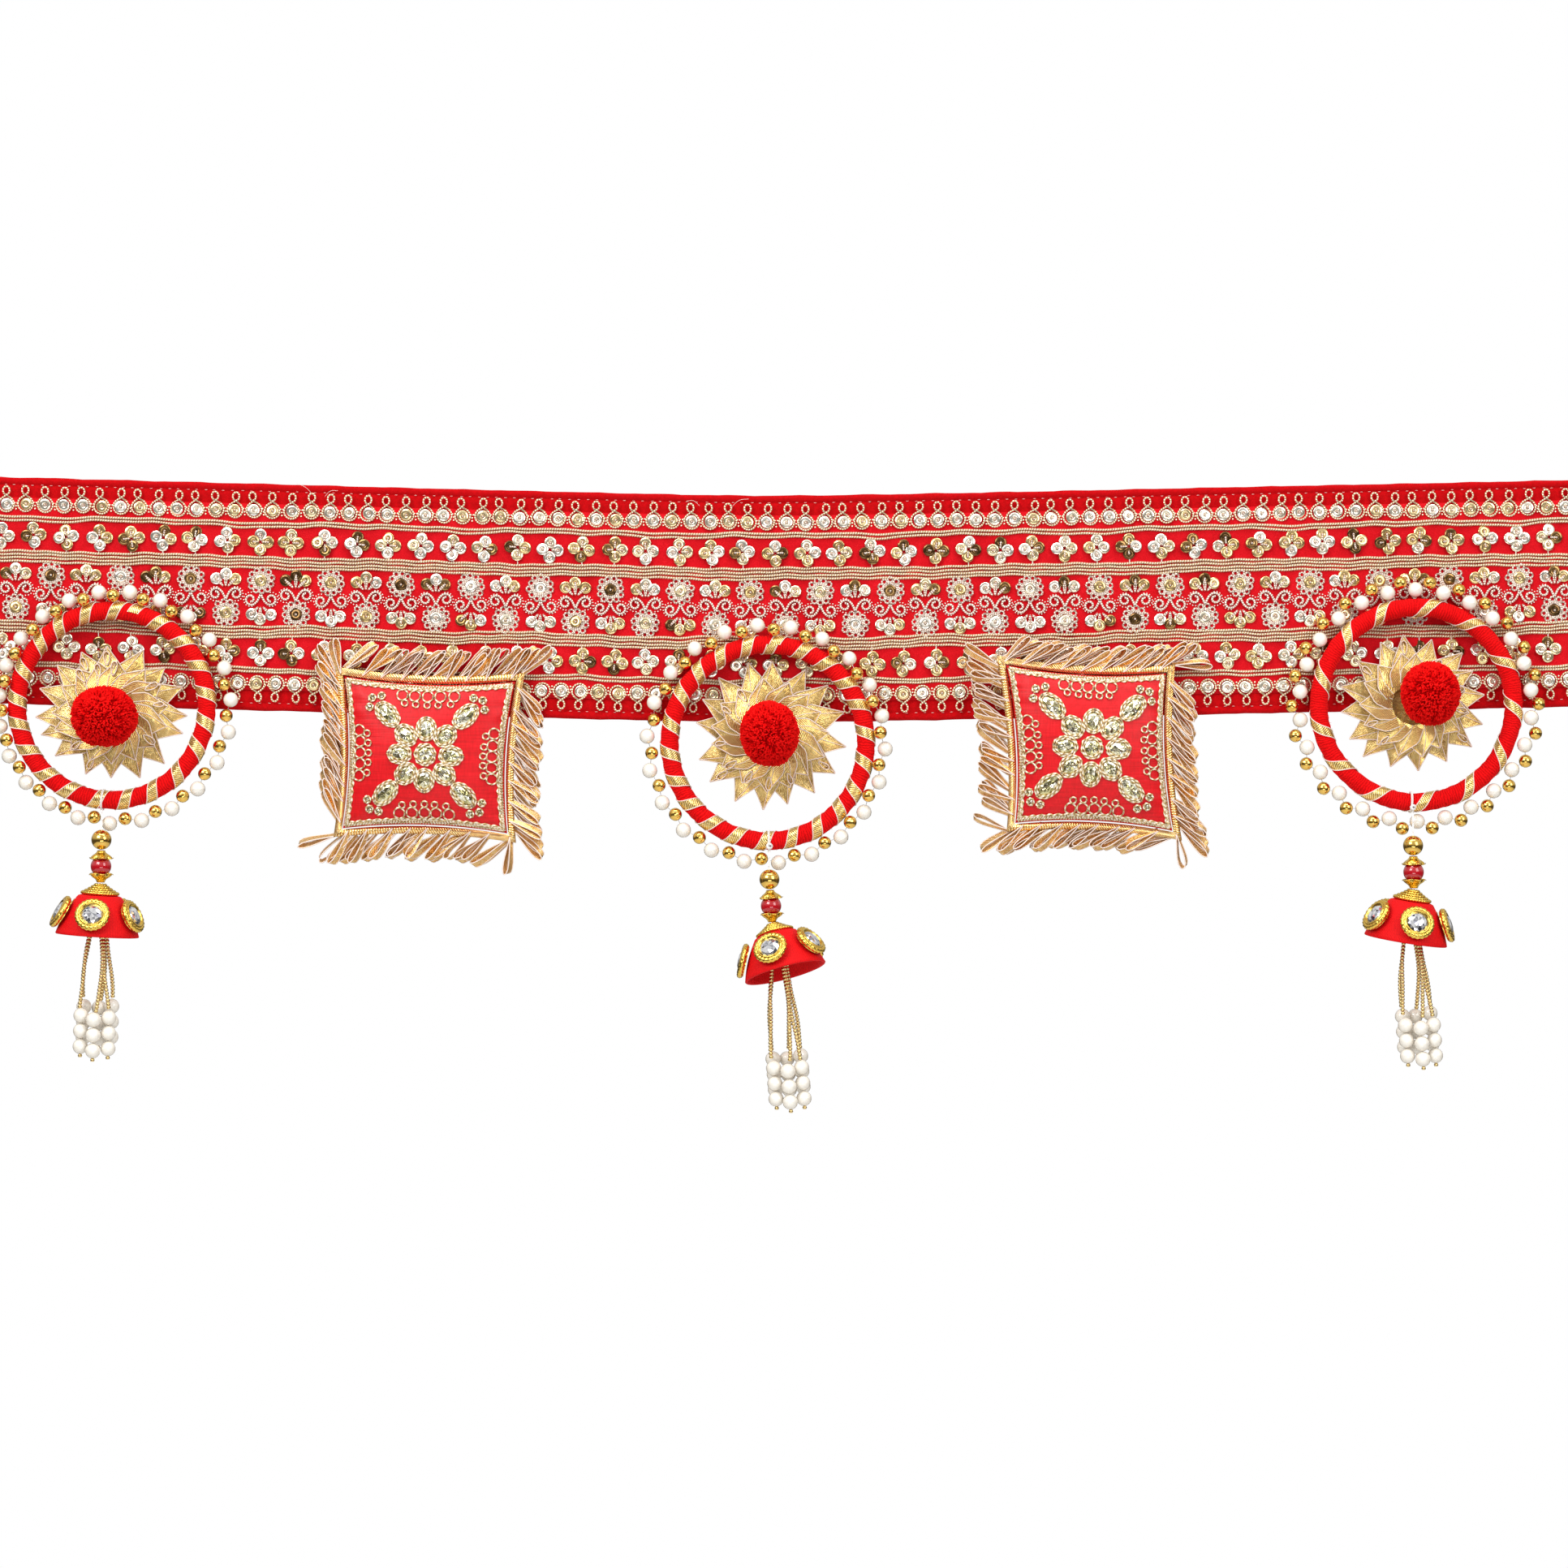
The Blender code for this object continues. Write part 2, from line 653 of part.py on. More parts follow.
def fringe_loop(side, travel, row, length):
    """Sections of one ribbon loop, which leans clockwise and outward from the strip."""
    layer = row["layer"]
    root = edge_point(side, travel, GAP + row["root"])
    ahead = edge_point(side, travel + 0.01, GAP) - edge_point(side, travel - 0.01, GAP)
    ahead.normalize()
    outward = ahead.cross(Vector((0.0, 1.0, 0.0)))
    reach = CUSHIONS[side]["reach"][int(travel) % 4] - FRINGE_ROWS[-1]["root"]
    wave = math.radians(FRINGE_SLANT_WAVE) * math.sin(travel * 9.0 + layer)
    slant = math.asin(reach / LOOP_LENGTH) + wave
    direction = ahead * math.cos(slant) + outward * math.sin(slant)
    aside = outward * math.cos(slant) - ahead * math.sin(slant)
    lift = Vector((0.0, layer * LOOP_LIFT, 0.0))
    root = root + Vector((0.0, layer * (FRINGE_STRIP_THICK / 2 - LOOP_HALF_THICK), 0.0))
    inward = Vector((0.0, -layer, 0.0))
    # Share of the length, and share of the full width and thickness, at the root, the belly and the tip.
    stations = ((0.0, 0.5), (0.6, 1.0), (1.0, 0.5))
    return [
        ring_section(
            root + direction * length * share + lift * share,
            inward, aside, LOOP_HALF_THICK * full, LOOP_HALF_WIDTH * full, LOOP_SIDES,
        )
        for share, full in stations
    ]


def build_fringe(side):
    lengths = random.Random(CUSHIONS[side]["seed"])
    strip_bm = bmesh.new()
    loft_into(strip_bm, fringe_strip(side), closed=True)
    loops_bm = bmesh.new()
    for row in FRINGE_ROWS:
        for k in range(FRINGE_LOOPS):
            travel = 4.0 * (k + row["shift"]) / FRINGE_LOOPS
            length = LOOP_LENGTH - LOOP_LENGTH_SPREAD * lengths.random()
            loft_into(loops_bm, fringe_loop(side, travel, row, length))
    name = "fringe_" + side
    strip = add_object(name, mesh_from(name, strip_bm), "gold_ribbon")
    loops = add_object(name + "_loops", mesh_from(name + "_loops", loops_bm), "gold_ribbon")
    union(strip, [loops])
    strip.matrix_world = cushion_frame(side)


def tie_place(side):
    """(middle of the ring's tube where the drop is tied, direction out of the ring there)."""
    ring = RINGS[side]
    angle = math.radians(ring["tie_angle"])
    outward = Vector((math.cos(angle), 0.0, math.sin(angle)))
    return ring_middle(side) + outward * ring["radius"], outward


def drop_origin(side):
    tube, outward = tie_place(side)
    return Vector((tube.x, tube.y - DROP_FORWARD, DROPS[side]["top"]))


def build_tie(side):
    """The white thread: a loop round the ring, a knot in front of it and the tail that holds the drop."""
    tube, outward = tie_place(side)
    across = Vector((0.0, 1.0, 0.0)).cross(outward).normalized()
    reach = RING_TUBE + GAP + TIE_THREAD
    name = "tie_" + side
    sections = []
    for k in range(TIE_STEPS):
        angle = 2 * math.pi * k / TIE_STEPS
        spoke = Vector((0.0, math.cos(angle), 0.0)) + outward * -math.sin(angle)
        sections.append(ring_section(tube + spoke * reach, spoke, across, TIE_THREAD, TIE_THREAD, 4))
    loop_bm = bmesh.new()
    loft_into(loop_bm, sections, closed=True)
    loop = add_object(name, mesh_from(name, loop_bm), "white_thread")

    knot_angle = math.radians(TIE_KNOT_ANGLE)
    origin = drop_origin(side)
    knot_reach = reach + TIE_KNOT - 2 * TIE_THREAD
    knot_middle = Vector((
        tube.x,
        tube.y + knot_reach * math.cos(knot_angle),
        tube.z + knot_reach * math.sin(knot_angle),
    ))
    knot_bm = bmesh.new()
    bmesh.ops.create_uvsphere(knot_bm, u_segments=6, v_segments=4, radius=TIE_KNOT)
    bmesh.ops.translate(knot_bm, verts=knot_bm.verts, vec=knot_middle)
    knot = add_object(name + "_knot", mesh_from(name + "_knot", knot_bm), "white_thread")

    foot = Vector((origin.x, origin.y, origin.z + GOLD_BEAD + GAP))
    start = knot_middle + Vector((0.0, 0.0, -TIE_KNOT * 0.3))
    up, front, right = Vector((0.0, 0.0, 1.0)), Vector((0.0, 1.0, 0.0)), Vector((1.0, 0.0, 0.0))
    tail_bm = bmesh.new()
    below = Vector((foot.x, foot.y, start.z - TIE_KNOT))
    loft_into(tail_bm, [
        ring_section(point, front, right, TIE_THREAD, TIE_THREAD, 4) for point in (foot, below, start + up * TIE_BITE)
    ])
    tail = add_object(name + "_tail", mesh_from(name + "_tail", tail_bm), "white_thread")
    union(loop, [knot, tail])


def drop_matrix(side, lean, pitch=0.0, pivot_down=0.0):
    """Places a piece of the drop, turned about a point of the axis that far below the gold bead's middle."""
    drop = DROPS[side]
    chain = Matrix.Translation(drop_origin(side)) @ Matrix.Rotation(math.radians(drop["lean"]), 4, "Y")
    if pivot_down == 0.0:
        return chain
    pivot = chain @ Vector((0.0, 0.0, -pivot_down))
    turn = Matrix.Rotation(math.radians(lean), 4, "Y") @ Matrix.Rotation(math.radians(pitch), 4, "X")
    return Matrix.Translation(pivot) @ turn @ Matrix.Translation((0.0, 0.0, pivot_down))


def build_bead(name, radius, down, material, matrix):
    bm = bmesh.new()
    bmesh.ops.create_uvsphere(bm, u_segments=BEAD_SEGMENTS, v_segments=BEAD_RINGS, radius=radius)
    bmesh.ops.translate(bm, verts=bm.verts, vec=(0.0, 0.0, -down))
    obj = add_object(name, mesh_from(name, bm), material)
    obj.matrix_world = matrix
    smooth(obj, 60.0)


def build_cap(name, upper, matrix):
    """A petalled bead cap over the red bead, or below it: its petals' tips curl out from the bead."""
    sign = 1.0 if upper else -1.0
    neck_end = RED_BEAD_DOWN - GOLD_BEAD - GAP if upper else LOW_CAP_NECK_END
    profile = ((CAP_NECK, neck_end), *CAP_PROFILE)
    rows = []
    for k in range(2 * CAP_PETALS):
        angle = math.pi * k / CAP_PETALS
        row = []
        for i, (radius, away) in enumerate(profile):
            if i == CAP_PETAL_ROW and k % 2:
                radius, away = radius * CAP_VALLEY, away + CAP_VALLEY_LIFT
            row.append(Vector((radius * math.cos(angle), radius * math.sin(angle), sign * away - RED_BEAD_DOWN)))
        rows.append(row)
    bm = bmesh.new()
    made = [[bm.verts.new(point) for point in row] for row in rows]
    for near, far in zip(made, made[1:] + made[:1]):
        for i in range(len(profile) - 1):
            bm.faces.new((near[i], near[i + 1], far[i + 1], far[i]))
    bm.faces.new([row[0] for row in made])
    under = bm.verts.new((0.0, 0.0, sign * (RED_BEAD + CAP_VALLEY_LIFT) - RED_BEAD_DOWN))
    for near, far in zip(made, made[1:] + made[:1]):
        bm.faces.new((near[-1], under, far[-1]))
    obj = add_object(name, mesh_from(name, bm), "gold_plate")
    obj.matrix_world = matrix
    smooth(obj)


def build_cone(side, matrix):
    """The stepped cone of coiled wire on top of the dome."""
    foot = -DOME_TOP_DOWN + GAP
    profile = [(radius, foot + height) for radius, height in CONE_PROFILE]
    turned("cone_" + side, profile, CONE_STEPS, "gold_plate").matrix_world = matrix


def build_dome(side, matrix):
    """The thread-wrapped bell, open below."""
    top = -DOME_TOP_DOWN
    shoulder, rim = DOME_SHOULDER, DOME_RIM
    profile = (
        (0.0, top),
        (shoulder[0] - DOME_ROOF_INSET, top),
        (shoulder[0], top - shoulder[1]),
        ((shoulder[0] + rim[0]) / 2 + DOME_BULGE, top - (shoulder[1] + rim[1]) / 2),
        (rim[0], top - rim[1]),
        (rim[0] - DOME_WALL, top - rim[1]),
        (shoulder[0] - DOME_WALL, top - DOME_INNER_SHOULDER),
        (0.0, top - DOME_WALL),
    )
    turned("dome_" + side, profile, DOME_STEPS, "red_silk").matrix_world = matrix


def build_studs(side, matrix):
    """Round stones in rope-edged settings, glued round the dome's slope."""
    shoulder, rim = DOME_SHOULDER, DOME_RIM
    share = (STUD_DOWN - shoulder[1]) / (rim[1] - shoulder[1])
    reach = shoulder[0] + (rim[0] - shoulder[0]) * share + DOME_BULGE
    slope = math.atan2(rim[0] - shoulder[0], rim[1] - shoulder[1])
    for k in range(STUD_COUNT):
        around = math.radians(DROPS[side]["stud_turn"] - 90.0) + 2 * math.pi * k / STUD_COUNT
        place = (
            Matrix.Rotation(around, 4, "Z")
            @ Matrix.Translation((reach, 0.0, -DOME_TOP_DOWN - STUD_DOWN))
            @ Matrix.Rotation(math.pi / 2 - slope, 4, "Y")
            @ Matrix.Translation((0.0, 0.0, GAP))
        )
        stud = turned(f"stud_{side}_{k + 1}", STUD_PROFILE, STUD_STEPS, "gold_plate")
        stud.matrix_world = matrix @ place


def strand_sections(k, longer):
    """Sections of one strand: seed beads as a thin run, then its pearls and a last small bead."""
    around = math.radians(FIRST_STRAND_ANGLE) + 2 * math.pi * k / STRANDS
    spoke = Vector((math.cos(around), math.sin(around), 0.0))
    first = FIRST_PEARL_DOWN + STRAND_STAGGER[k] + longer
    down = Vector((0.0, 0.0, -1.0))
    right, front = Vector((1.0, 0.0, 0.0)), Vector((0.0, 1.0, 0.0))

    def section(circle, depth, radius):
        return ring_section(spoke * circle + down * depth, right, front, radius, radius, 4)

    sections = [
        section(STRAND_ROOT_CIRCLE, 0.0, STRAND_RADIUS),
        section(STRAND_MOUTH_CIRCLE, MOUTH_DOWN, STRAND_RADIUS),
        section(STRAND_PEARL_CIRCLE, first - PEARL_RADIUS, STRAND_RADIUS),
    ]
    for i in range(STRAND_PEARLS):
        middle = first + i * PEARL_PITCH
        sections.append(section(STRAND_PEARL_CIRCLE, middle - PEARL_RADIUS * BEAD_WAIST, PEARL_RADIUS))
        sections.append(section(STRAND_PEARL_CIRCLE, middle + PEARL_RADIUS * BEAD_WAIST, PEARL_RADIUS))
        if i < STRAND_PEARLS - 1:
            sections.append(section(STRAND_PEARL_CIRCLE, middle + PEARL_PITCH / 2, STRAND_RADIUS))
    end = first + (STRAND_PEARLS - 1) * PEARL_PITCH + PEARL_RADIUS + 2 * STRAND_RADIUS
    sections.append(section(STRAND_PEARL_CIRCLE, end, STRAND_RADIUS))
    return sections


def build_strands(side, dome_matrix):
    """A bunch of strands from one knot under the dome's roof. It leans its own way, not the dome's."""
    name = "strands_" + side
    head_down = DOME_TOP_DOWN + DOME_WALL + GAP + STRAND_HEAD_RADIUS
    head_middle = dome_matrix @ Vector((0.0, 0.0, -head_down))
    matrix = Matrix.Translation(head_middle) @ Matrix.Rotation(math.radians(DROPS[side]["strand_lean"]), 4, "Y")
    strands_bm = bmesh.new()
    for k in range(STRANDS):
        loft_into(strands_bm, strand_sections(k, DROPS[side]["longer"]))
    head_bm = bmesh.new()
    bmesh.ops.create_uvsphere(head_bm, u_segments=6, v_segments=4, radius=STRAND_HEAD_RADIUS)
    head = add_object(name, mesh_from(name, head_bm), "gold_plate")
    strands = add_object(name + "_runs", mesh_from(name + "_runs", strands_bm), "gold_plate")
    union(head, [strands])
    head.matrix_world = matrix


def build_drop(side):
    drop = DROPS[side]
    chain = drop_matrix(side, drop["lean"])
    build_tie(side)
    build_bead("bead_gold_" + side, GOLD_BEAD, 0.0, "gold_plate", chain)
    build_cap("cap_top_" + side, True, chain)
    build_bead("bead_red_" + side, RED_BEAD, RED_BEAD_DOWN, "red_glass", chain)
    build_cap("cap_low_" + side, False, chain)
    dome = drop_matrix(side, drop["roll"], drop["pitch"], DOME_PIVOT_DOWN)
    build_cone(side, dome)
    build_dome(side, dome)
    build_studs(side, dome)
    build_strands(side, dome)


def main():
    clear_scene()
    collection = bpy.data.collections.new("toran")
    bpy.context.scene.collection.children.link(collection)
    make_materials()
    build_backing()
    build_lace()
    for side in RINGS:
        build_ring(side)
        build_bead_string(side)
        build_pompom(side, build_flower(side))
    for side in CUSHIONS:
        build_cushion(side)
        build_fringe(side)
    for side in DROPS:
        build_drop(side)


main()
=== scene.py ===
"""Looks of the toran door hanging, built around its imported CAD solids. Metres, +Z up, seen from -Y."""

import math

import bpy
import numpy as np
from mathutils import Matrix, Vector
from mathutils.bvhtree import BVHTree


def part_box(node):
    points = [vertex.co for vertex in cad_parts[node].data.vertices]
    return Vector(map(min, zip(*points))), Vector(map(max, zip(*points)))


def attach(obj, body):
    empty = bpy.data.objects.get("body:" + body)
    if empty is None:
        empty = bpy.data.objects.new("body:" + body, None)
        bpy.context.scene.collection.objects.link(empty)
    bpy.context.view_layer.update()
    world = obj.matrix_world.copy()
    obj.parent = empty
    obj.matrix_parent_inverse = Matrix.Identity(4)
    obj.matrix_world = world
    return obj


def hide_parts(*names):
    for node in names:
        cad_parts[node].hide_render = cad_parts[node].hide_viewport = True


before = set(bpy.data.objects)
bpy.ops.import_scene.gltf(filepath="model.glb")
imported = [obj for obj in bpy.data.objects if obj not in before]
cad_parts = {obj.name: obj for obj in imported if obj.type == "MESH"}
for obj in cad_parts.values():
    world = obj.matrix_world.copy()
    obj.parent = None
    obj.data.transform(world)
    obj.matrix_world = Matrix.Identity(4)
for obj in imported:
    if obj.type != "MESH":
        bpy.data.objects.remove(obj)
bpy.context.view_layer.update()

FRONT = np.array((0.0, -1.0, 0.0))
TINY = 1e-5
SIDES = ("left", "centre", "right")

# The band, as the CAD solids have it.
HALF_LENGTH = 0.3216
HEIGHT = 0.0898
BACKING_HALF = 0.0008
SAG_ROUND = 0.030
RISE = {"left": 0.0269, "right": 0.0213}
FOLDS = ((0.0011, 0.231, 0.031), (0.0006, 0.127, -0.042))
FOLD_SHARE_AT_TOP = 0.35
LACE_FRONT = 0.0015
LACE_MARGIN = 0.0080

# Rings, flowers, cushions and drops, as the CAD solids have them.
TUBE = 0.00375
RINGS = {
    "left": dict(middle=(-0.2586, -0.0832), radius=0.0374, pairs=23, pearl=0.0070, gold=0.0052,
                 slack=0.0028, slack_angle=-35.0, tie=-95.1, turns=20.5, start=12.0),
    "centre": dict(middle=(0.0, -0.0979), radius=0.0387, pairs=22, pearl=0.0074, gold=0.0056,
                   slack=0.0018, slack_angle=-140.0, tie=-89.0, turns=22.0, start=3.0),
    "right": dict(middle=(0.2557, -0.0830), radius=0.0384, pairs=26, pearl=0.0068, gold=0.0098,
                  slack=0.0010, slack_angle=-150.0, tie=-93.0, turns=13.0, start=8.0),
}
PEARL = 0.0030
GOLD = 0.0026
FLOWERS = {
    "left": dict(middle=(-0.2589, -0.0861), wide=0.0305, tall=0.0268, turn=2.0, seed=4),
    "centre": dict(middle=(0.0007, -0.0947), wide=0.0304, tall=0.0298, turn=-4.0, seed=9),
    "right": dict(middle=(0.2547, -0.0827), wide=0.0288, tall=0.0274, turn=7.0, seed=13),
}
POMPOMS = {"left": (1.06, 0.98), "centre": (0.94, 1.05), "right": (0.94, 1.03)}
CUSHIONS = {
    "left": dict(middle=(-0.1342, -0.1027), size=(0.0662, 0.0600), turn=1.8, taper=0.02, lean=0.0,
                 reach=(0.0162, 0.0158, 0.0158, 0.0122), seed=3),
    "right": dict(middle=(0.1270, -0.1000), size=(0.0626, 0.0620), turn=2.9, taper=0.01, lean=0.10,
                  reach=(0.0134, 0.0146, 0.0130, 0.0172), seed=8),
}
DRAWN_IN = 0.0024
CUSHION_FRONT = 0.0110
CUSHION_BACK = 0.0060
ROUNDNESS = 0.42
DROPS = {
    "left": dict(top=-0.1361, lean=1.0, roll=3.8, pitch=0.0, strand_lean=1.5, stud_turn=0.0, longer=0.0),
    "centre": dict(top=-0.1517, lean=-3.5, roll=-15.0, pitch=-12.0, strand_lean=-4.5, stud_turn=-12.0,
                   longer=0.0050),
    "right": dict(top=-0.1384, lean=-1.0, roll=8.6, pitch=3.0, strand_lean=-4.0, stud_turn=4.0,
                  longer=0.0012),
}
DROP_FORWARD = 0.0049
BEAD = 0.0040
RED_BEAD = 0.0041
RED_DOWN = 0.0104
DOME_TOP = 0.0218
DOME_PIVOT = 0.0168
DOME_SHOULDER = (0.0089, 0.0010)
DOME_RIM = (0.0163, 0.0156)
STUD_DOWN = 0.0081
STRAND_TURNS = (0.0, -28.0, 22.0, -18.0, 30.0, -24.0)
STRAND_STAGGER = (0.0000, 0.0010, 0.0004, 0.0036, 0.0050, 0.0042)


# Meshes

class Batch:
    """Collects many small shapes and makes one object of them."""

    def __init__(self, name, slot, materials, smooth=True):
        self.name, self.slot, self.materials, self.smooth = name, slot, materials, smooth
        self.verts, self.quads, self.tris, self.tone, self.uv = [], [], [], [], []
        self.quad_mat, self.tri_mat = [], []
        self.count = 0

    def add(self, verts, faces, tone=0.5, uv=None, material=0):
        verts = np.asarray(verts, float).reshape(-1, 3)
        faces = np.asarray(faces, int)
        (self.quads if faces.shape[1] == 4 else self.tris).append(faces + self.count)
        (self.quad_mat if faces.shape[1] == 4 else self.tri_mat).append(np.full(len(faces), material))
        self.verts.append(verts)
        self.tone.append(np.broadcast_to(np.asarray(tone, float), (len(verts),)))
        self.uv.append(np.zeros((len(verts), 2)) if uv is None else np.asarray(uv, float).reshape(-1, 2))
        self.count += len(verts)

    def scatter(self, shape, places, turns=None, tones=0.5, material=0):
        """Repeats a (verts, faces) shape at places, each turned by a 3x3 matrix."""
        verts, faces = shape[0], np.asarray(shape[1], int)
        places = np.asarray(places, float).reshape(-1, 3)
        n = len(places)
        if turns is None:
            turns = np.broadcast_to(np.eye(3), (n, 3, 3))
        moved = np.einsum("nij,vj->nvi", np.asarray(turns, float), verts) + places[:, None]
        index = (faces[None] + (np.arange(n) * len(verts))[:, None, None]).reshape(-1, faces.shape[1])
        tone = np.repeat(np.broadcast_to(np.asarray(tones, float), (n,)), len(verts))
        uv = np.tile(shape[2], (n, 1)) if len(shape) > 2 else None
        self.add(moved.reshape(-1, 3), index, tone, uv, material)

    def make(self, replaces=(), body="root"):
        verts = np.concatenate(self.verts)
        quads = np.concatenate(self.quads) if self.quads else np.zeros((0, 4), int)
        tris = np.concatenate(self.tris) if self.tris else np.zeros((0, 3), int)
        mesh = bpy.data.meshes.new(self.name)
        mesh.vertices.add(len(verts))
        mesh.vertices.foreach_set("co", verts.astype(np.float32).ravel())
        corner = np.concatenate([quads.ravel(), tris.ravel()]).astype(np.int32)
        mesh.loops.add(len(corner))
        mesh.loops.foreach_set("vertex_index", corner)
        mesh.polygons.add(len(quads) + len(tris))
        starts = np.concatenate([np.arange(len(quads)) * 4, quads.size + np.arange(len(tris)) * 3])
        mesh.polygons.foreach_set("loop_start", starts.astype(np.int32))
        which = np.concatenate([np.concatenate(self.quad_mat) if self.quad_mat else [],
                                np.concatenate(self.tri_mat) if self.tri_mat else []])
        mesh.polygons.foreach_set("material_index", which.astype(np.int32))
        mesh.update(calc_edges=True)
        layer = mesh.uv_layers.new(name="UVMap")
        layer.data.foreach_set("uv", np.concatenate(self.uv)[corner].astype(np.float32).ravel())
        tone = mesh.attributes.new("tone", "FLOAT", "POINT")
        tone.data.foreach_set("value", np.concatenate(self.tone).astype(np.float32))
        for item in self.materials:
            mesh.materials.append(item)
        if self.smooth:
            mesh.shade_smooth()
        obj = bpy.data.objects.new(self.name, mesh)
        bpy.context.scene.collection.objects.link(obj)
        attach(obj, body)
        if replaces:
            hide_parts(*replaces)
        return obj


def grid_faces(rows, columns, wrap_rows=False, wrap_columns=False):
    r = np.arange(rows if wrap_rows else rows - 1)
    c = np.arange(columns if wrap_columns else columns - 1)
    i, j = (a.ravel() for a in np.meshgrid(r, c, indexing="ij"))
    i2, j2 = (i + 1) % rows, (j + 1) % columns
    return np.stack([i * columns + j, i * columns + j2, i2 * columns + j2, i2 * columns + j], 1)


def sheet_faces(rows, columns):
    """Faces of a closed sheet whose rows are its front points followed by its back points in reverse."""
    around = 2 * columns
    j = np.arange(columns - 1)
    cap = np.stack([j, j + 1, around - 2 - j, around - 1 - j], 1)
    walls = grid_faces(rows, around, wrap_columns=True)[:, ::-1]
    return np.concatenate([walls, cap[:, ::-1] + (rows - 1) * around, cap])


def unit(v):
    v = np.asarray(v, float)
    return v / np.maximum(np.linalg.norm(v, axis=-1, keepdims=True), 1e-12)


def tube(path, radius, sides=5, closed=False, ref=FRONT, bulge=None):
    """A tube along path: (verts, faces, uv). uv is the length along it and the share of the way round."""
    path = np.asarray(path, float)
    n = len(path)
    if closed:
        tangent = unit(np.roll(path, -1, 0) - np.roll(path, 1, 0))
        steps = np.linalg.norm(np.roll(path, -1, 0) - path, axis=1)[:-1]
    else:
        tangent = unit(np.gradient(path, axis=0))
        steps = np.linalg.norm(np.diff(path, axis=0), axis=1)
    run = np.concatenate([[0.0], np.cumsum(steps)])
    ref = np.broadcast_to(np.asarray(ref, float), (n, 3))
    first = unit(ref - (ref * tangent).sum(1, keepdims=True) * tangent)
    second = np.cross(tangent, first)
    angle = 2 * np.pi * (np.arange(sides + 1) / sides) + np.pi
    radius = np.broadcast_to(np.asarray(radius, float), (n,))[:, None] * np.ones((1, sides + 1))
    if bulge is not None:
        radius = radius * bulge(run[:, None], angle[None])
    verts = (path[:, None] + radius[..., None] * (np.cos(angle)[None, :, None] * first[:, None]
             + np.sin(angle)[None, :, None] * second[:, None]))
    uv = np.stack([np.broadcast_to(run[:, None], (n, sides + 1)),
                   np.broadcast_to(np.arange(sides + 1) / sides, (n, sides + 1))], -1)
    faces = grid_faces(n, sides + 1, wrap_rows=closed)
    return verts.reshape(-1, 3), faces[:, ::-1], uv.reshape(-1, 2)


def revolve(profile, steps):
    """A surface turned about Z from (radius, height) points: (verts, faces, uv)."""
    profile = np.maximum(np.asarray(profile, float), (TINY, -9.0))
    angle = 2 * np.pi * np.arange(steps + 1) / steps
    verts = np.stack([profile[None, :, 0] * np.cos(angle)[:, None],
                      profile[None, :, 0] * np.sin(angle)[:, None],
                      np.broadcast_to(profile[None, :, 1], (steps + 1, len(profile)))], -1)
    run = np.concatenate([[0.0], np.cumsum(np.linalg.norm(np.diff(profile, axis=0), axis=1))])
    uv = np.stack([np.broadcast_to(run[None], verts.shape[:2]),
                   np.broadcast_to((angle / (2 * np.pi))[:, None], verts.shape[:2])], -1)
    return verts.reshape(-1, 3), grid_faces(steps + 1, len(profile))[:, ::-1], uv.reshape(-1, 2)


def ball(radius, steps=16, rings=9, squash=1.0):
    angle = np.linspace(0, np.pi, rings + 1)
    return revolve(np.stack([radius * np.sin(angle), radius * squash * np.cos(angle)], 1), steps)


def moved(shape, matrix):
    """A shape with its points put through a 4x4 matrix."""
    m = np.array(matrix, float)
    return (shape[0] @ m[:3, :3].T + m[:3, 3], *shape[1:])


def facing(normals, roll=0.0):
    """3x3 matrices that turn +Z to each normal, rolled about it."""
    z = unit(normals)
    up = np.where(np.abs(z[:, 2:3]) > 0.95, np.array((1.0, 0.0, 0.0)), np.array((0.0, 0.0, 1.0)))
    x = unit(np.cross(up, z))
    y = np.cross(z, x)
    roll = np.broadcast_to(np.asarray(roll, float), (len(z),))[:, None]
    return np.stack([x * np.cos(roll) + y * np.sin(roll), y * np.cos(roll) - x * np.sin(roll), z], -1)


def turn_y(degrees):
    return Matrix.Rotation(math.radians(degrees), 4, "Y")


# Materials

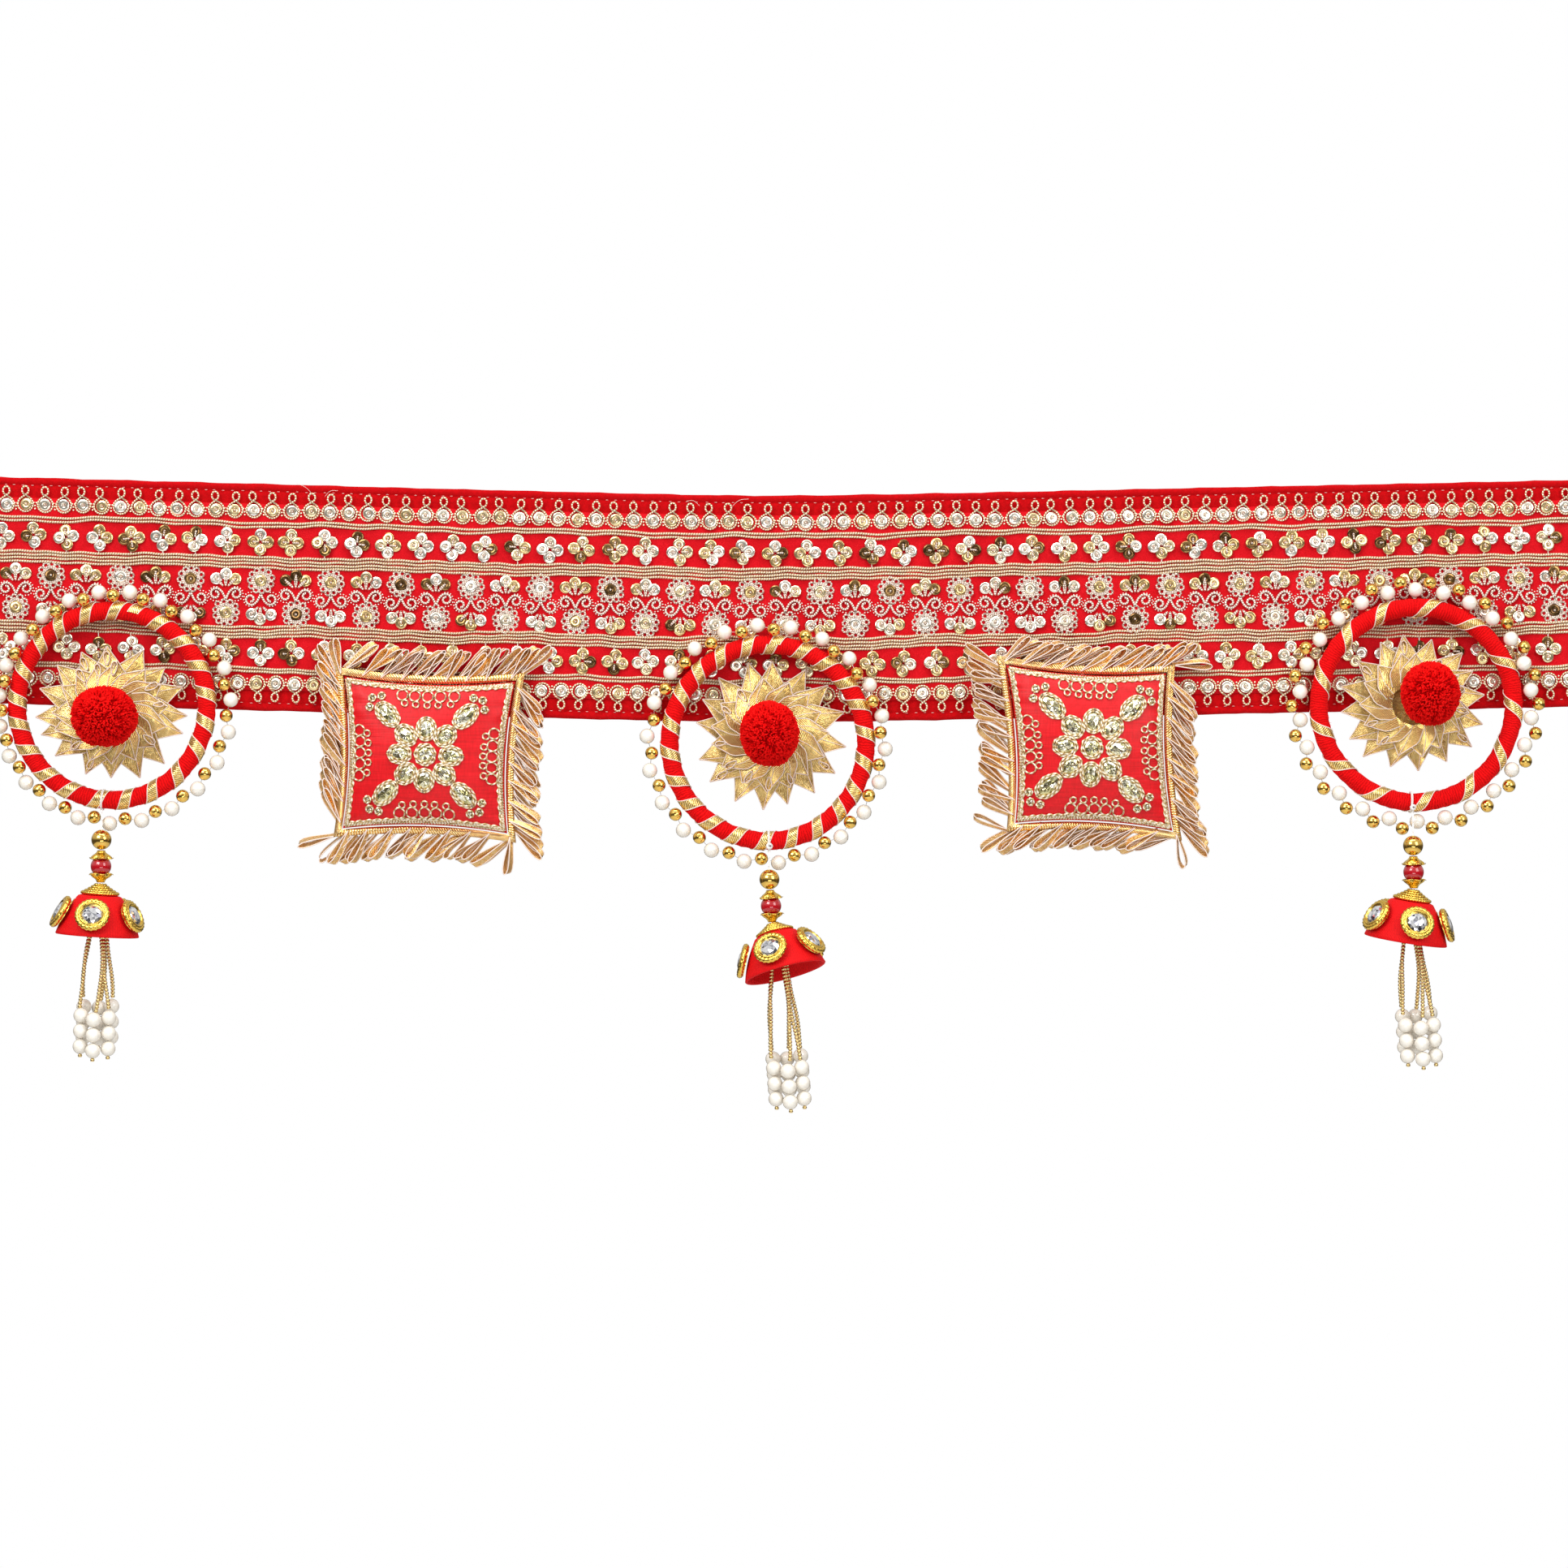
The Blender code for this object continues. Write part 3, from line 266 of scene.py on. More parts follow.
class Look:
    """A Principled material with helpers for its nodes."""

    def __init__(self, name, colour, roughness, metallic=0.0, **sockets):
        self.material = bpy.data.materials.new(name)
        self.material.use_nodes = True
        self.tree = self.material.node_tree
        self.shader = self.tree.nodes["Principled BSDF"]
        self.shader.inputs["Base Color"].default_value = (*colour, 1.0)
        self.shader.inputs["Roughness"].default_value = roughness
        self.shader.inputs["Metallic"].default_value = metallic
        for key, value in sockets.items():
            self.shader.inputs[key.replace("_", " ")].default_value = value

    def node(self, kind, links=None, **settings):
        made = self.tree.nodes.new(kind)
        for key, value in settings.items():
            if hasattr(made, key):
                setattr(made, key, value)
            else:
                made.inputs[key].default_value = value
        for key, source in (links or {}).items():
            self.tree.links.new(source, made.inputs[key])
        return made

    def maths(self, operation, a, b=None):
        made = self.node("ShaderNodeMath", operation=operation)
        for i, value in enumerate((a, b)):
            if value is None:
                continue
            if isinstance(value, (int, float)):
                made.inputs[i].default_value = value
            else:
                self.tree.links.new(value, made.inputs[i])
        return made.outputs[0]

    def attribute(self, name="tone"):
        return self.node("ShaderNodeAttribute", attribute_name=name).outputs["Fac"]

    def uv(self):
        source = self.node("ShaderNodeUVMap", uv_map="UVMap").outputs[0]
        split = self.node("ShaderNodeSeparateXYZ", {"Vector": source})
        return split.outputs[0], split.outputs[1]

    def place(self, scale=(1.0, 1.0, 1.0)):
        where = self.node("ShaderNodeTexCoord").outputs["Object"]
        return self.node("ShaderNodeMapping", {"Vector": where}, Scale=scale).outputs[0]

    def noise(self, scale, detail=3.0, stretch=(1.0, 1.0, 1.0), rough=0.6):
        made = self.node("ShaderNodeTexNoise", {"Vector": self.place(stretch)}, Scale=scale, Detail=detail)
        made.inputs["Roughness"].default_value = rough
        return made.outputs["Fac"]

    def ramp(self, factor, *stops):
        made = self.node("ShaderNodeValToRGB", {"Fac": factor})
        elements = made.color_ramp.elements
        while len(elements) < len(stops):
            elements.new(0.5)
        for element, (where, colour) in zip(elements, stops):
            element.position = where
            element.color = (*colour, 1.0)
        return made.outputs["Color"]

    def set(self, socket, source):
        self.tree.links.new(source, self.shader.inputs[socket])
        return self

    def bump(self, height, strength, distance):
        made = self.node("ShaderNodeBump", {"Height": height}, Strength=strength, Distance=distance)
        self.tree.links.new(made.outputs[0], self.shader.inputs["Normal"])
        return self


def stripes(look, value, times):
    """A 0 to 1 wave that repeats that many times over value."""
    wave = look.maths("SINE", look.maths("MULTIPLY", value, 2 * math.pi * times))
    return look.maths("ADD", look.maths("MULTIPLY", wave, 0.5), 0.5)


def make_velvet():
    look = Look("velvet", (0.40, 0.0, 0.002), 0.95, Sheen_Weight=0.25, Sheen_Roughness=0.4,
                Specular_IOR_Level=0.15)
    look.shader.inputs["Sheen Tint"].default_value = (1.0, 0.02, 0.02, 1.0)
    fuzz = look.noise(900.0, 4.0)
    look.set("Base Color", look.ramp(fuzz, (0.30, (0.40, 0.0, 0.001)), (0.70, (0.56, 0.0, 0.003))))
    return look.bump(look.noise(2600.0, 2.0), 0.5, 0.0003).material


def make_net():
    look = Look("net", (0.62, 0.001, 0.006), 0.85, Specular_IOR_Level=0.2)
    weave = look.noise(2300.0, 3.0, (1.0, 1.0, 1.0), 0.7)
    blotch = look.noise(190.0, 4.0)
    shade = look.maths("ADD", look.maths("MULTIPLY", weave, 0.65), look.maths("MULTIPLY", blotch, 0.35))
    look.set("Base Color", look.ramp(shade, (0.30, (0.46, 0.0, 0.002)), (0.52, (0.62, 0.0, 0.006)),
                                     (0.74, (0.80, 0.012, 0.022))))
    return look.bump(weave, 0.6, 0.0003).material


def make_zari(name="zari", light=(0.95, 0.72, 0.38), groove_shade=(0.38, 0.18, 0.06), twist=0.0010):
    """Gold cord: plies that wind round the cord, with a painted highlight on top of each ply and painted
    shade between them.
    """
    look = Look(name, light, 0.36, 0.35)
    along, around = look.uv()
    wind = look.maths("ADD", look.maths("MULTIPLY", along, 1.0 / twist), around)
    ply = stripes(look, wind, 1.0)
    fine = look.noise(1500.0, 2.0)
    shade = look.maths("ADD", look.maths("MULTIPLY", ply, 0.60), look.maths("MULTIPLY", fine, 0.50))
    # The darkest stop is painted shade between the plies and the palest a painted highlight on their tops.
    ply_highlight = tuple(0.35 * c + 0.62 for c in light)
    look.set("Base Color", look.ramp(shade, (0.22, groove_shade), (0.48, light), (0.82, ply_highlight)))
    return look.bump(ply, 0.8, 0.0003).material


def make_sequin():
    look = Look("sequin", (0.8, 0.6, 0.3), 0.16, 0.85, Specular_IOR_Level=0.7)
    # Tone sets each sequin from near black to near white: painted reflections on sequins that are all one
    # gold.
    look.set("Base Color", look.ramp(look.attribute(), (0.0, (0.10, 0.05, 0.015)), (0.22, (0.34, 0.20, 0.07)),
                                     (0.5, (0.80, 0.58, 0.26)), (0.78, (0.93, 0.78, 0.50)),
                                     (1.0, (0.98, 0.92, 0.80))))
    return look.bump(look.noise(700.0, 2.0), 0.15, 0.0003).material


def make_gold(name, colour=(0.80, 0.50, 0.13), roughness=0.12, relief=0.0, scale=900.0):
    look = Look(name, colour, roughness, 1.0)
    if relief:
        look.bump(look.noise(scale, 3.0), relief, 0.0002)
    return look.material


def make_pearl():
    look = Look("pearl", (0.80, 0.74, 0.64), 0.20, 0.0, Coat_Weight=0.8, Coat_Roughness=0.06,
                Specular_IOR_Level=0.6)
    # Paler where the surface faces the view and darker towards the outline: a painted highlight and painted
    # shade.
    rim = look.node("ShaderNodeLayerWeight", Blend=0.4).outputs["Facing"]
    look.set("Base Color", look.ramp(rim, (0.0, (0.92, 0.88, 0.80)), (0.45, (0.84, 0.78, 0.68)),
                                     (0.9, (0.60, 0.51, 0.41))))
    return look.material


def make_yarn():
    """Red wool wound round the bangle: fine uneven ridges across it."""
    look = Look("yarn", (0.78, 0.0, 0.002), 0.9, 0.0, Sheen_Weight=0.2, Sheen_Roughness=0.5,
                Specular_IOR_Level=0.15)
    look.shader.inputs["Sheen Tint"].default_value = (1.0, 0.02, 0.02, 1.0)
    along, around = look.uv()
    wobble = look.maths("MULTIPLY", look.noise(300.0, 2.0), 2.2)
    wind = look.maths("ADD", look.maths("ADD", look.maths("MULTIPLY", along, 1.0 / 0.0010), around), wobble)
    strand = stripes(look, wind, 1.0)
    fuzz = look.noise(1700.0, 4.0)
    shade = look.maths("ADD", look.maths("MULTIPLY", strand, 0.35), look.maths("MULTIPLY", fuzz, 0.65))
    # The troughs between the windings are painted darker as painted shade; the fine fuzz is uneven tone.
    look.set("Base Color", look.ramp(shade, (0.25, (0.46, 0.0, 0.0)), (0.55, (0.78, 0.0, 0.002)),
                                     (0.85, (0.90, 0.006, 0.006))))
    return look.bump(shade, 0.8, 0.0004).material


def make_pompom():
    look = Look("pompom_wool", (0.80, 0.0, 0.002), 0.95, 0.0, Sheen_Weight=0.3, Sheen_Roughness=0.5,
                Specular_IOR_Level=0.1)
    look.shader.inputs["Sheen Tint"].default_value = (1.0, 0.03, 0.02, 1.0)
    # Low tone paints the wool dark deep in the ball and high tone bright at the tips: painted shade.
    look.set("Base Color", look.ramp(look.attribute(), (0.0, (0.30, 0.0, 0.0)), (0.55, (0.74, 0.0, 0.001)),
                                     (1.0, (0.92, 0.010, 0.008))))
    return look.material


def make_gota(name="gota", warm=0.0):
    """Woven metallic ribbon: diagonal twill of bright flat wire."""
    look = Look(name, (0.80, 0.52, 0.14), 0.24, 0.9, Specular_IOR_Level=0.6)
    along, across = look.uv()
    wires = 1.0 / 0.0009
    twill = look.maths("ADD", look.maths("MULTIPLY", along, wires), look.maths("MULTIPLY", across, wires))
    weave = stripes(look, twill, 1.0)
    fine = look.noise(900.0, 3.0)
    shade = look.maths("ADD", look.maths("MULTIPLY", weave, 0.45), look.maths("MULTIPLY", fine, 0.62))
    # The darkest stop is painted shade between the wires and the palest a painted highlight on them; the fine
    # noise is uneven tone.
    low, mid, high = (0.28, 0.13, 0.02), (0.86, 0.55, 0.13), (1.0, 0.84, 0.46)
    if warm:
        low, mid, high = (0.56, 0.17, 0.015), (0.95, 0.55, 0.14), (1.0, 0.88, 0.56)
    look.set("Base Color", look.ramp(shade, (0.24, low), (0.50, mid), (0.82, high)))
    return look.bump(shade, 0.7, 0.0003).material


def make_silk():
    """Slub silk: fine cross threads with streaks that run along the cloth."""
    look = Look("slub_silk", (0.66, 0.0, 0.004), 0.46, 0.0, Specular_IOR_Level=0.35)
    slub = look.noise(160.0, 4.0, (0.35, 1.0, 9.0))
    threads = look.noise(1500.0, 2.0, (1.0, 1.0, 0.12))
    shade = look.maths("ADD", look.maths("MULTIPLY", slub, 0.6), look.maths("MULTIPLY", threads, 0.4))
    look.set("Base Color", look.ramp(shade, (0.32, (0.50, 0.0, 0.002)), (0.55, (0.70, 0.0, 0.005)),
                                     (0.75, (0.84, 0.006, 0.014))))
    return look.bump(shade, 0.35, 0.0004).material


def make_dome_thread():
    look = Look("wound_silk", (0.78, 0.0, 0.003), 0.7, 0.0, Specular_IOR_Level=0.2)
    along, around = look.uv()
    lines = stripes(look, look.maths("ADD", around, look.maths("MULTIPLY", along, 1.2)), 150.0)
    fuzz = look.noise(1200.0, 3.0)
    shade = look.maths("ADD", look.maths("MULTIPLY", lines, 0.35), look.maths("MULTIPLY", fuzz, 0.65))
    # The gaps between the wound threads are painted darker as painted shade; the fuzz is uneven tone.
    look.set("Base Color", look.ramp(shade, (0.25, (0.55, 0.0, 0.001)), (0.75, (0.86, 0.002, 0.005))))
    return look.bump(shade, 0.4, 0.0003).material


def make_crystal():
    look = Look("crystal", (0.9, 0.9, 0.93), 0.04, 0.9, Coat_Weight=1.0, Coat_Roughness=0.02)
    # Each facet's tone paints it from near black to white: painted reflections in the stone.
    look.set("Base Color", look.ramp(look.attribute(), (0.0, (0.10, 0.10, 0.13)), (0.4, (0.55, 0.56, 0.60)),
                                     (1.0, (1.0, 1.0, 1.0))))
    return look.material


def make_mirror_gota():
    look = Look("mirror_leaf", (0.80, 0.74, 0.42), 0.10, 0.95)
    # Tone paints each piece of foil from dark to near white: painted reflections.
    look.set("Base Color", look.ramp(look.attribute(), (0.0, (0.30, 0.27, 0.10)), (0.35, (0.74, 0.68, 0.36)),
                                     (1.0, (0.98, 0.97, 0.84))))
    return look.bump(look.noise(420.0, 2.0), 0.5, 0.0008).material


def plain(name, colour, roughness, metallic=0.0, **sockets):
    return Look(name, colour, roughness, metallic, **sockets).material


def make_looks():
    looks = {
        "velvet": make_velvet(), "net": make_net(), "zari": make_zari(), "sequin": make_sequin(),
        "braid": make_zari("braid", (0.88, 0.66, 0.32), (0.32, 0.18, 0.06), 0.0024),
        "seed": make_gold("seed_gold", (0.78, 0.58, 0.26), 0.16),
        "gold": make_gold("bead_gold", (0.86, 0.55, 0.13), 0.09),
        "rope": make_gold("rope_gold", (0.82, 0.54, 0.10), 0.2, 0.25),
        "pearl": make_pearl(), "yarn": make_yarn(), "pompom": make_pompom(),
        "gota": make_gota(), "fringe": make_gota("fringe_gota", 1.0), "silk": make_silk(),
        "dome": make_dome_thread(), "crystal": make_crystal(), "leaf": make_mirror_gota(),
        "thread": plain("white_thread", (0.93, 0.91, 0.88), 0.7, Sheen_Weight=0.3),
        "edge": plain("edge_thread", (0.90, 0.76, 0.68), 0.6),
        "speck": plain("speck_thread", (0.80, 0.42, 0.38), 0.7),
        "silver_zari": make_zari("silver_zari", (0.96, 0.82, 0.66), (0.44, 0.20, 0.14), 0.0009),
        "nylon": plain("nylon", (0.9, 0.9, 0.9), 0.15, 0.0, Transmission_Weight=0.7),
        "red_glass": plain("red_glass", (0.45, 0.0, 0.008), 0.05, 0.0, Coat_Weight=1.0, Coat_Roughness=0.03),
    }
    return looks


# The band

def top_edge(x):
    x = np.asarray(x, float)
    return np.where(x < 0, RISE["left"], RISE["right"]) * (np.hypot(x, SAG_ROUND) - SAG_ROUND)


def band_y(x, down):
    fold = 0.0
    for depth, length, start in FOLDS:
        turn = 2 * np.pi / length
        fold = fold + depth * (np.sin(turn * (np.asarray(x) - start)) + np.sin(turn * start))
    return fold * (FOLD_SHARE_AT_TOP + (1 - FOLD_SHARE_AT_TOP) * np.asarray(down))


def on_band(x, from_top, forward):
    """Points of the band at x, from_top below its top edge, forward of its middle layer."""
    x, from_top = np.broadcast_arrays(np.asarray(x, float), np.asarray(from_top, float))
    return np.stack([x, band_y(x, from_top / HEIGHT) - forward, top_edge(x) - from_top], -1)


def waver(x, seed, size):
    """A slow uneven wave along x, as hand-guided stitching has."""
    draw = np.random.default_rng(seed)
    total = np.zeros_like(np.asarray(x, float))
    for length in (0.083, 0.041, 0.023, 0.0127):
        share = draw.uniform(0.4, 1.0)
        total += share * np.sin(2 * np.pi * x / length + draw.uniform(0, 6.28)) * (length / 0.083) ** 0.5
    return size * total


def build_backing(looks):
    """The backing cloth: one sheet with its top, bottom and end hems turned to the back."""
    hem = 0.0030
    from_top = np.concatenate([[0.0, 0.0005, 0.0015, 0.0027, hem, 0.0034, 0.0040],
                               np.linspace(0.0055, HEIGHT - 0.0055, 34),
                               HEIGHT - np.array([0.0040, 0.0034, hem, 0.0027, 0.0015, 0.0005, 0.0])])
    x = np.linspace(-HALF_LENGTH, HALF_LENGTH, 180)
    grid_x, grid_d = np.meshgrid(x, from_top, indexing="ij")
    edge = np.minimum(grid_d, HEIGHT - grid_d)
    puff = 0.0005 * np.exp(-((edge - 0.0016) / 0.0011) ** 2) - 0.00035 * np.exp(-((edge - hem) / 0.0004) ** 2)
    crease = 0.00016 * np.sin(grid_x * 900 + 3 * np.sin(grid_x * 210)) * np.exp(-edge / 0.004)
    ripple = waver(grid_x + 0.3 * grid_d, 21, 0.00012)
    front = on_band(grid_x, grid_d, 0.0)
    rim = 0.0006 * np.cos(np.pi * np.clip(edge / 0.0005, 0, 1) / 2) ** 2
    front[..., 1] -= BACKING_HALF + puff + crease + ripple - rim
    fray = waver(grid_x * 3.1, 5, 0.00012) * np.where(grid_d < HEIGHT / 2, 1, -1) * np.exp(-edge / 0.001)
    front[..., 2] += fray
    back = on_band(grid_x, grid_d, 0.0)
    folded = np.where(edge < 0.0090, 0.0005, 0.0) * np.clip((0.0090 - edge) / 0.0006, 0, 1)
    ends = 0.0005 * np.clip((0.0085 - (HALF_LENGTH - np.abs(grid_x))) / 0.0006, 0, 1)
    back[..., 1] += BACKING_HALF + folded * 0.8 + ends - rim + 0.4 * ripple
    back[..., 2] = front[..., 2]
    batch = Batch("backing_cloth", "red_velvet", [looks["velvet"]])
    n, m = grid_x.shape
    batch.add(np.concatenate([front, back[:, ::-1]], 1), sheet_faces(n, m))
    obj = batch.make(["band_backing"])
    return obj


def build_net(looks):
    """The net that carries the gold work, sewn over the backing."""
    x = np.linspace(-HALF_LENGTH + 0.0010, HALF_LENGTH - 0.0010, 180)
    from_top = np.linspace(LACE_MARGIN, HEIGHT - LACE_MARGIN, 26)
    grid_x, grid_d = np.meshgrid(x, from_top, indexing="ij")
    edge = np.minimum(grid_d - LACE_MARGIN, HEIGHT - LACE_MARGIN - grid_d)
    loose = 0.00018 * np.sin(grid_x * 520 + grid_d * 300) + waver(grid_x - grid_d, 31, 0.00012)
    front = on_band(grid_x, grid_d, LACE_FRONT)
    front[..., 1] -= loose * np.clip(edge / 0.004, 0, 1)
    front[..., 1] += 0.0003 * np.exp(-edge / 0.0006)
    back = front.copy()
    back[..., 1] += 0.0005
    batch = Batch("lace_net", "red_lace", [looks["net"]])
    n, m = grid_x.shape
    batch.add(np.concatenate([front, back[:, ::-1]], 1), sheet_faces(n, m))
    return batch.make(["lace_panel"])


def both_edges(from_edge):
    """The same distance from the top edge and from the bottom one, with the direction into the band."""
    return ((from_edge, 1.0), (HEIGHT - from_edge, -1.0))


def build_stitches(looks):
    """White running stitches along both hems: short specks with long gaps."""
    batch = Batch("hem_stitches", "white_thread", [looks["speck"]])
    pitch, long = 0.0036, 0.0011
    draw = np.random.default_rng(2)
    shape = ball(0.00014, 6, 4)
    shape = (shape[0] * np.array((1.0, 1.0, long / 0.00028)), shape[1])
    for from_edge, _ in both_edges(0.0030):
        x = np.arange(-HALF_LENGTH + 0.002, HALF_LENGTH - 0.002, pitch)
        x = x + draw.uniform(-0.0004, 0.0004, len(x))
        places = on_band(x, from_edge + draw.uniform(-0.0001, 0.0001, len(x)), BACKING_HALF + 0.0003)
        before, after = (on_band(x + step, from_edge, BACKING_HALF) for step in (-0.001, 0.001))
        ahead = unit(after - before)
        batch.scatter(shape, places, facing(ahead))
    return batch.make()


def build_cords(looks):
    """Wavy rows of gold cord: four lines in the inner rows and two in the outer ones."""
    batch = Batch("lace_cords", "gold_ribbon", [looks["zari"]])
    x = np.arange(-HALF_LENGTH + 0.0012, HALF_LENGTH - 0.0012, 0.00105)
    rows = ((0.0161, (-0.00070, 0.00065), 1), (0.0312, (-0.00205, -0.0007, 0.00065, 0.00200), 2))
    for from_edge, lines, seed in rows:
        for end, (place, into) in enumerate(both_edges(from_edge)):
            shared = waver(x, 40 + 7 * seed + end, 0.00046)
            for k, offset in enumerate(lines):
                own = waver(x, 90 + 11 * seed + 5 * end + k, 0.00010)
                path = on_band(x, place + into * offset + shared + own, LACE_FRONT + 0.00042)
                made = tube(path, 0.00052, 4)
                batch.add(made[0], made[1], uv=made[2])
    return batch.make()


def circle_path(radius, steps, start=0.0, sweep=2 * np.pi):
    angle = start + sweep * np.arange(steps) / (steps if abs(sweep) > 6.28 else steps - 1)
    return np.stack([radius * np.cos(angle), radius * np.sin(angle), np.zeros(steps)], -1)


def band_turns(x, from_top, rolls, draw, tilt):
    """Matrices that lay a flat shape, made facing +Z with +Y up, on the band with a small tilt."""
    n = len(x)
    lean = draw.uniform(-tilt, tilt, (n, 2))
    normals = np.stack([lean[:, 0], -np.ones(n), lean[:, 1]], -1)
    return facing(normals, rolls)


def scallop_path():
    """A big loop whose ends cross above it into a small upright loop. +Y is towards the edge."""
    big = np.radians(np.linspace(60.0, -240.0, 19))
    small = np.radians(np.linspace(-50.0, 230.0, 11))
    low = np.stack([0.00298 * np.cos(big), 0.00298 * np.sin(big), np.zeros(len(big))], -1)
    high = np.stack([0.00132 * np.cos(small), 0.0054 + 0.00165 * np.sin(small),
                     np.full(len(small), 0.0003)], -1)
    return np.concatenate([low, high])


def build_scallops(looks):
    """Big loops round the sequins that cross into small ones towards the edge, with knots between."""
    batch = Batch("lace_scallops", "gold_ribbon", [looks["zari"]])
    pitch = 0.00752
    draw = np.random.default_rng(6)
    eight = tube(scallop_path(), 0.00040, 5, True, (0, 0, 1))
    knot = ball(0.00040, 5, 3)
    for end, (place, into) in enumerate(both_edges(0.0107)):
        x = np.arange(-HALF_LENGTH + 0.0055, HALF_LENGTH - 0.005, pitch) + (0.0012 if end else 0.0)
        x = x + draw.uniform(-0.00025, 0.00025, len(x))
        wave = waver(x, 60 + end, 0.00018)
        rolls = np.full(len(x), 0.0 if into > 0 else np.pi) + draw.uniform(-0.12, 0.12, len(x))
        batch.scatter(eight, on_band(x, place + wave, LACE_FRONT + 0.00040),
                      band_turns(x, place, rolls, draw, 0.05), 0.5)
        for shift, down in ((-0.0005, -0.0006), (0.0005, -0.0006), (0.0, 0.0006), (0.0, 0.0018)):
            spot = on_band(x + pitch / 2 + shift, place + into * down + wave, LACE_FRONT + 0.00030)
            batch.scatter(knot, spot)
    return batch.make()


def sequin_shape():
    """A small cupped disc with a hole, facing +Z."""
    return revolve([(0.0024, 0.0), (0.00225, 0.00016), (0.0012, 0.00004), (0.00042, -0.00004),
                    (0.00042, -0.00014), (0.0024, 0.0)], 12)


def build_sequins(looks):
    """Sequins held by a seed knot: one in each loop, four to a flower, three under each scroll pair."""
    discs = Batch("sequins", "gold_plate", [looks["sequin"]])
    seeds = Batch("sequin_knots", "gold_plate", [looks["silver_zari"]])
    disc, seed = sequin_shape(), ball(0.00050, 6, 4, 0.7)
    draw = np.random.default_rng(14)
    spots = []
    pitch = 0.00752
    for end, (place, into) in enumerate(both_edges(0.0107)):
        x = np.arange(-HALF_LENGTH + 0.0055, HALF_LENGTH - 0.005, pitch) + (0.0012 if end else 0.0)
        x = x + draw.uniform(-0.00025, 0.00025, len(x))
        spots += [(a, place + float(waver(a, 60 + end, 0.00018)), 0.0006) for a in x]
    pitch = 0.01274
    for end, (place, into) in enumerate(both_edges(0.0229)):
        for x in np.arange(-HALF_LENGTH + 0.0060, HALF_LENGTH - 0.005, pitch):
            x, y = x + draw.uniform(-0.0004, 0.0004), place + draw.uniform(-0.0004, 0.0004)
            spin = draw.uniform(-0.15, 0.15)
            for k in range(4):
                arm, turn = 0.00295 + draw.uniform(-0.0003, 0.0002), spin + np.pi / 2 * k
                spots.append((x + math.sin(turn) * arm, y - math.cos(turn) * arm, 0.0005 + 0.00022 * k))
                inner = on_band(x + math.sin(turn) * 0.0006, y - math.cos(turn) * 0.0006, LACE_FRONT + 0.0009)
                hole = on_band(x + math.sin(turn) * arm, y - math.cos(turn) * arm, LACE_FRONT + 0.0011)
                spoke = tube(np.linspace(inner, hole, 4), 0.00036, 4)
                seeds.add(spoke[0], spoke[1], uv=spoke[2])
    for x, inverted in middle_columns():
        sign = -1.0 if inverted else 1.0
        for k, (dx, dz) in enumerate(((-0.0037, 0.0069), (0.0037, 0.0069), (0.0, 0.0088))):
            dx = dx + draw.uniform(-0.0003, 0.0003)
            spots.append((x + dx, HEIGHT / 2 + sign * dz, 0.0005 + 0.0002 * k))
            inner = on_band(x + dx * 0.25, HEIGHT / 2 + sign * 0.0040, LACE_FRONT + 0.0010)
            hole = on_band(x + dx, HEIGHT / 2 + sign * dz, LACE_FRONT + 0.0011)
            for side in (-0.0004, 0.0004):
                bend = np.sin(np.linspace(0, np.pi, 5))[:, None] * np.array((side, -0.0001, 0.0))
                spoke = tube(np.linspace(inner, hole, 5) + bend, 0.00030, 4)
                seeds.add(spoke[0], spoke[1], uv=spoke[2])
        spots.append((x, HEIGHT / 2 - sign * 0.0065, 0.0006))
    spots = np.array(spots)
    n = len(spots)
    places = on_band(spots[:, 0], spots[:, 1], LACE_FRONT + spots[:, 2])
    rolls = draw.uniform(0, 6.28, n)
    # Each sequin's tone is a painted reflection, dark or bright at random; the first 172, the sequins in the
    # loops, are painted brighter.
    tones = draw.choice([1.0, 0.90, 0.74, 0.55, 0.42, 0.16, 0.03], n,
                        p=[0.22, 0.14, 0.12, 0.20, 0.14, 0.10, 0.08])
    tones = np.where(np.arange(n) < 172, np.maximum(tones, draw.choice([0.62, 0.95], n)), tones)
    discs.scatter(disc, places, band_turns(spots[:, 0], spots[:, 1], rolls, draw, 0.20), tones)
    seeds.scatter(seed, places + FRONT * 0.0003, facing(np.tile(FRONT, (n, 1))))
    return discs.make(), seeds.make()


def middle_columns():
    """(x, inverted) of the columns along the band's middle."""
    pitch = 0.01383
    count = int(2 * HALF_LENGTH / pitch)
    start = -pitch * (count - 1) / 2
    return [(start + k * pitch, bool(k % 2)) for k in range(count)]


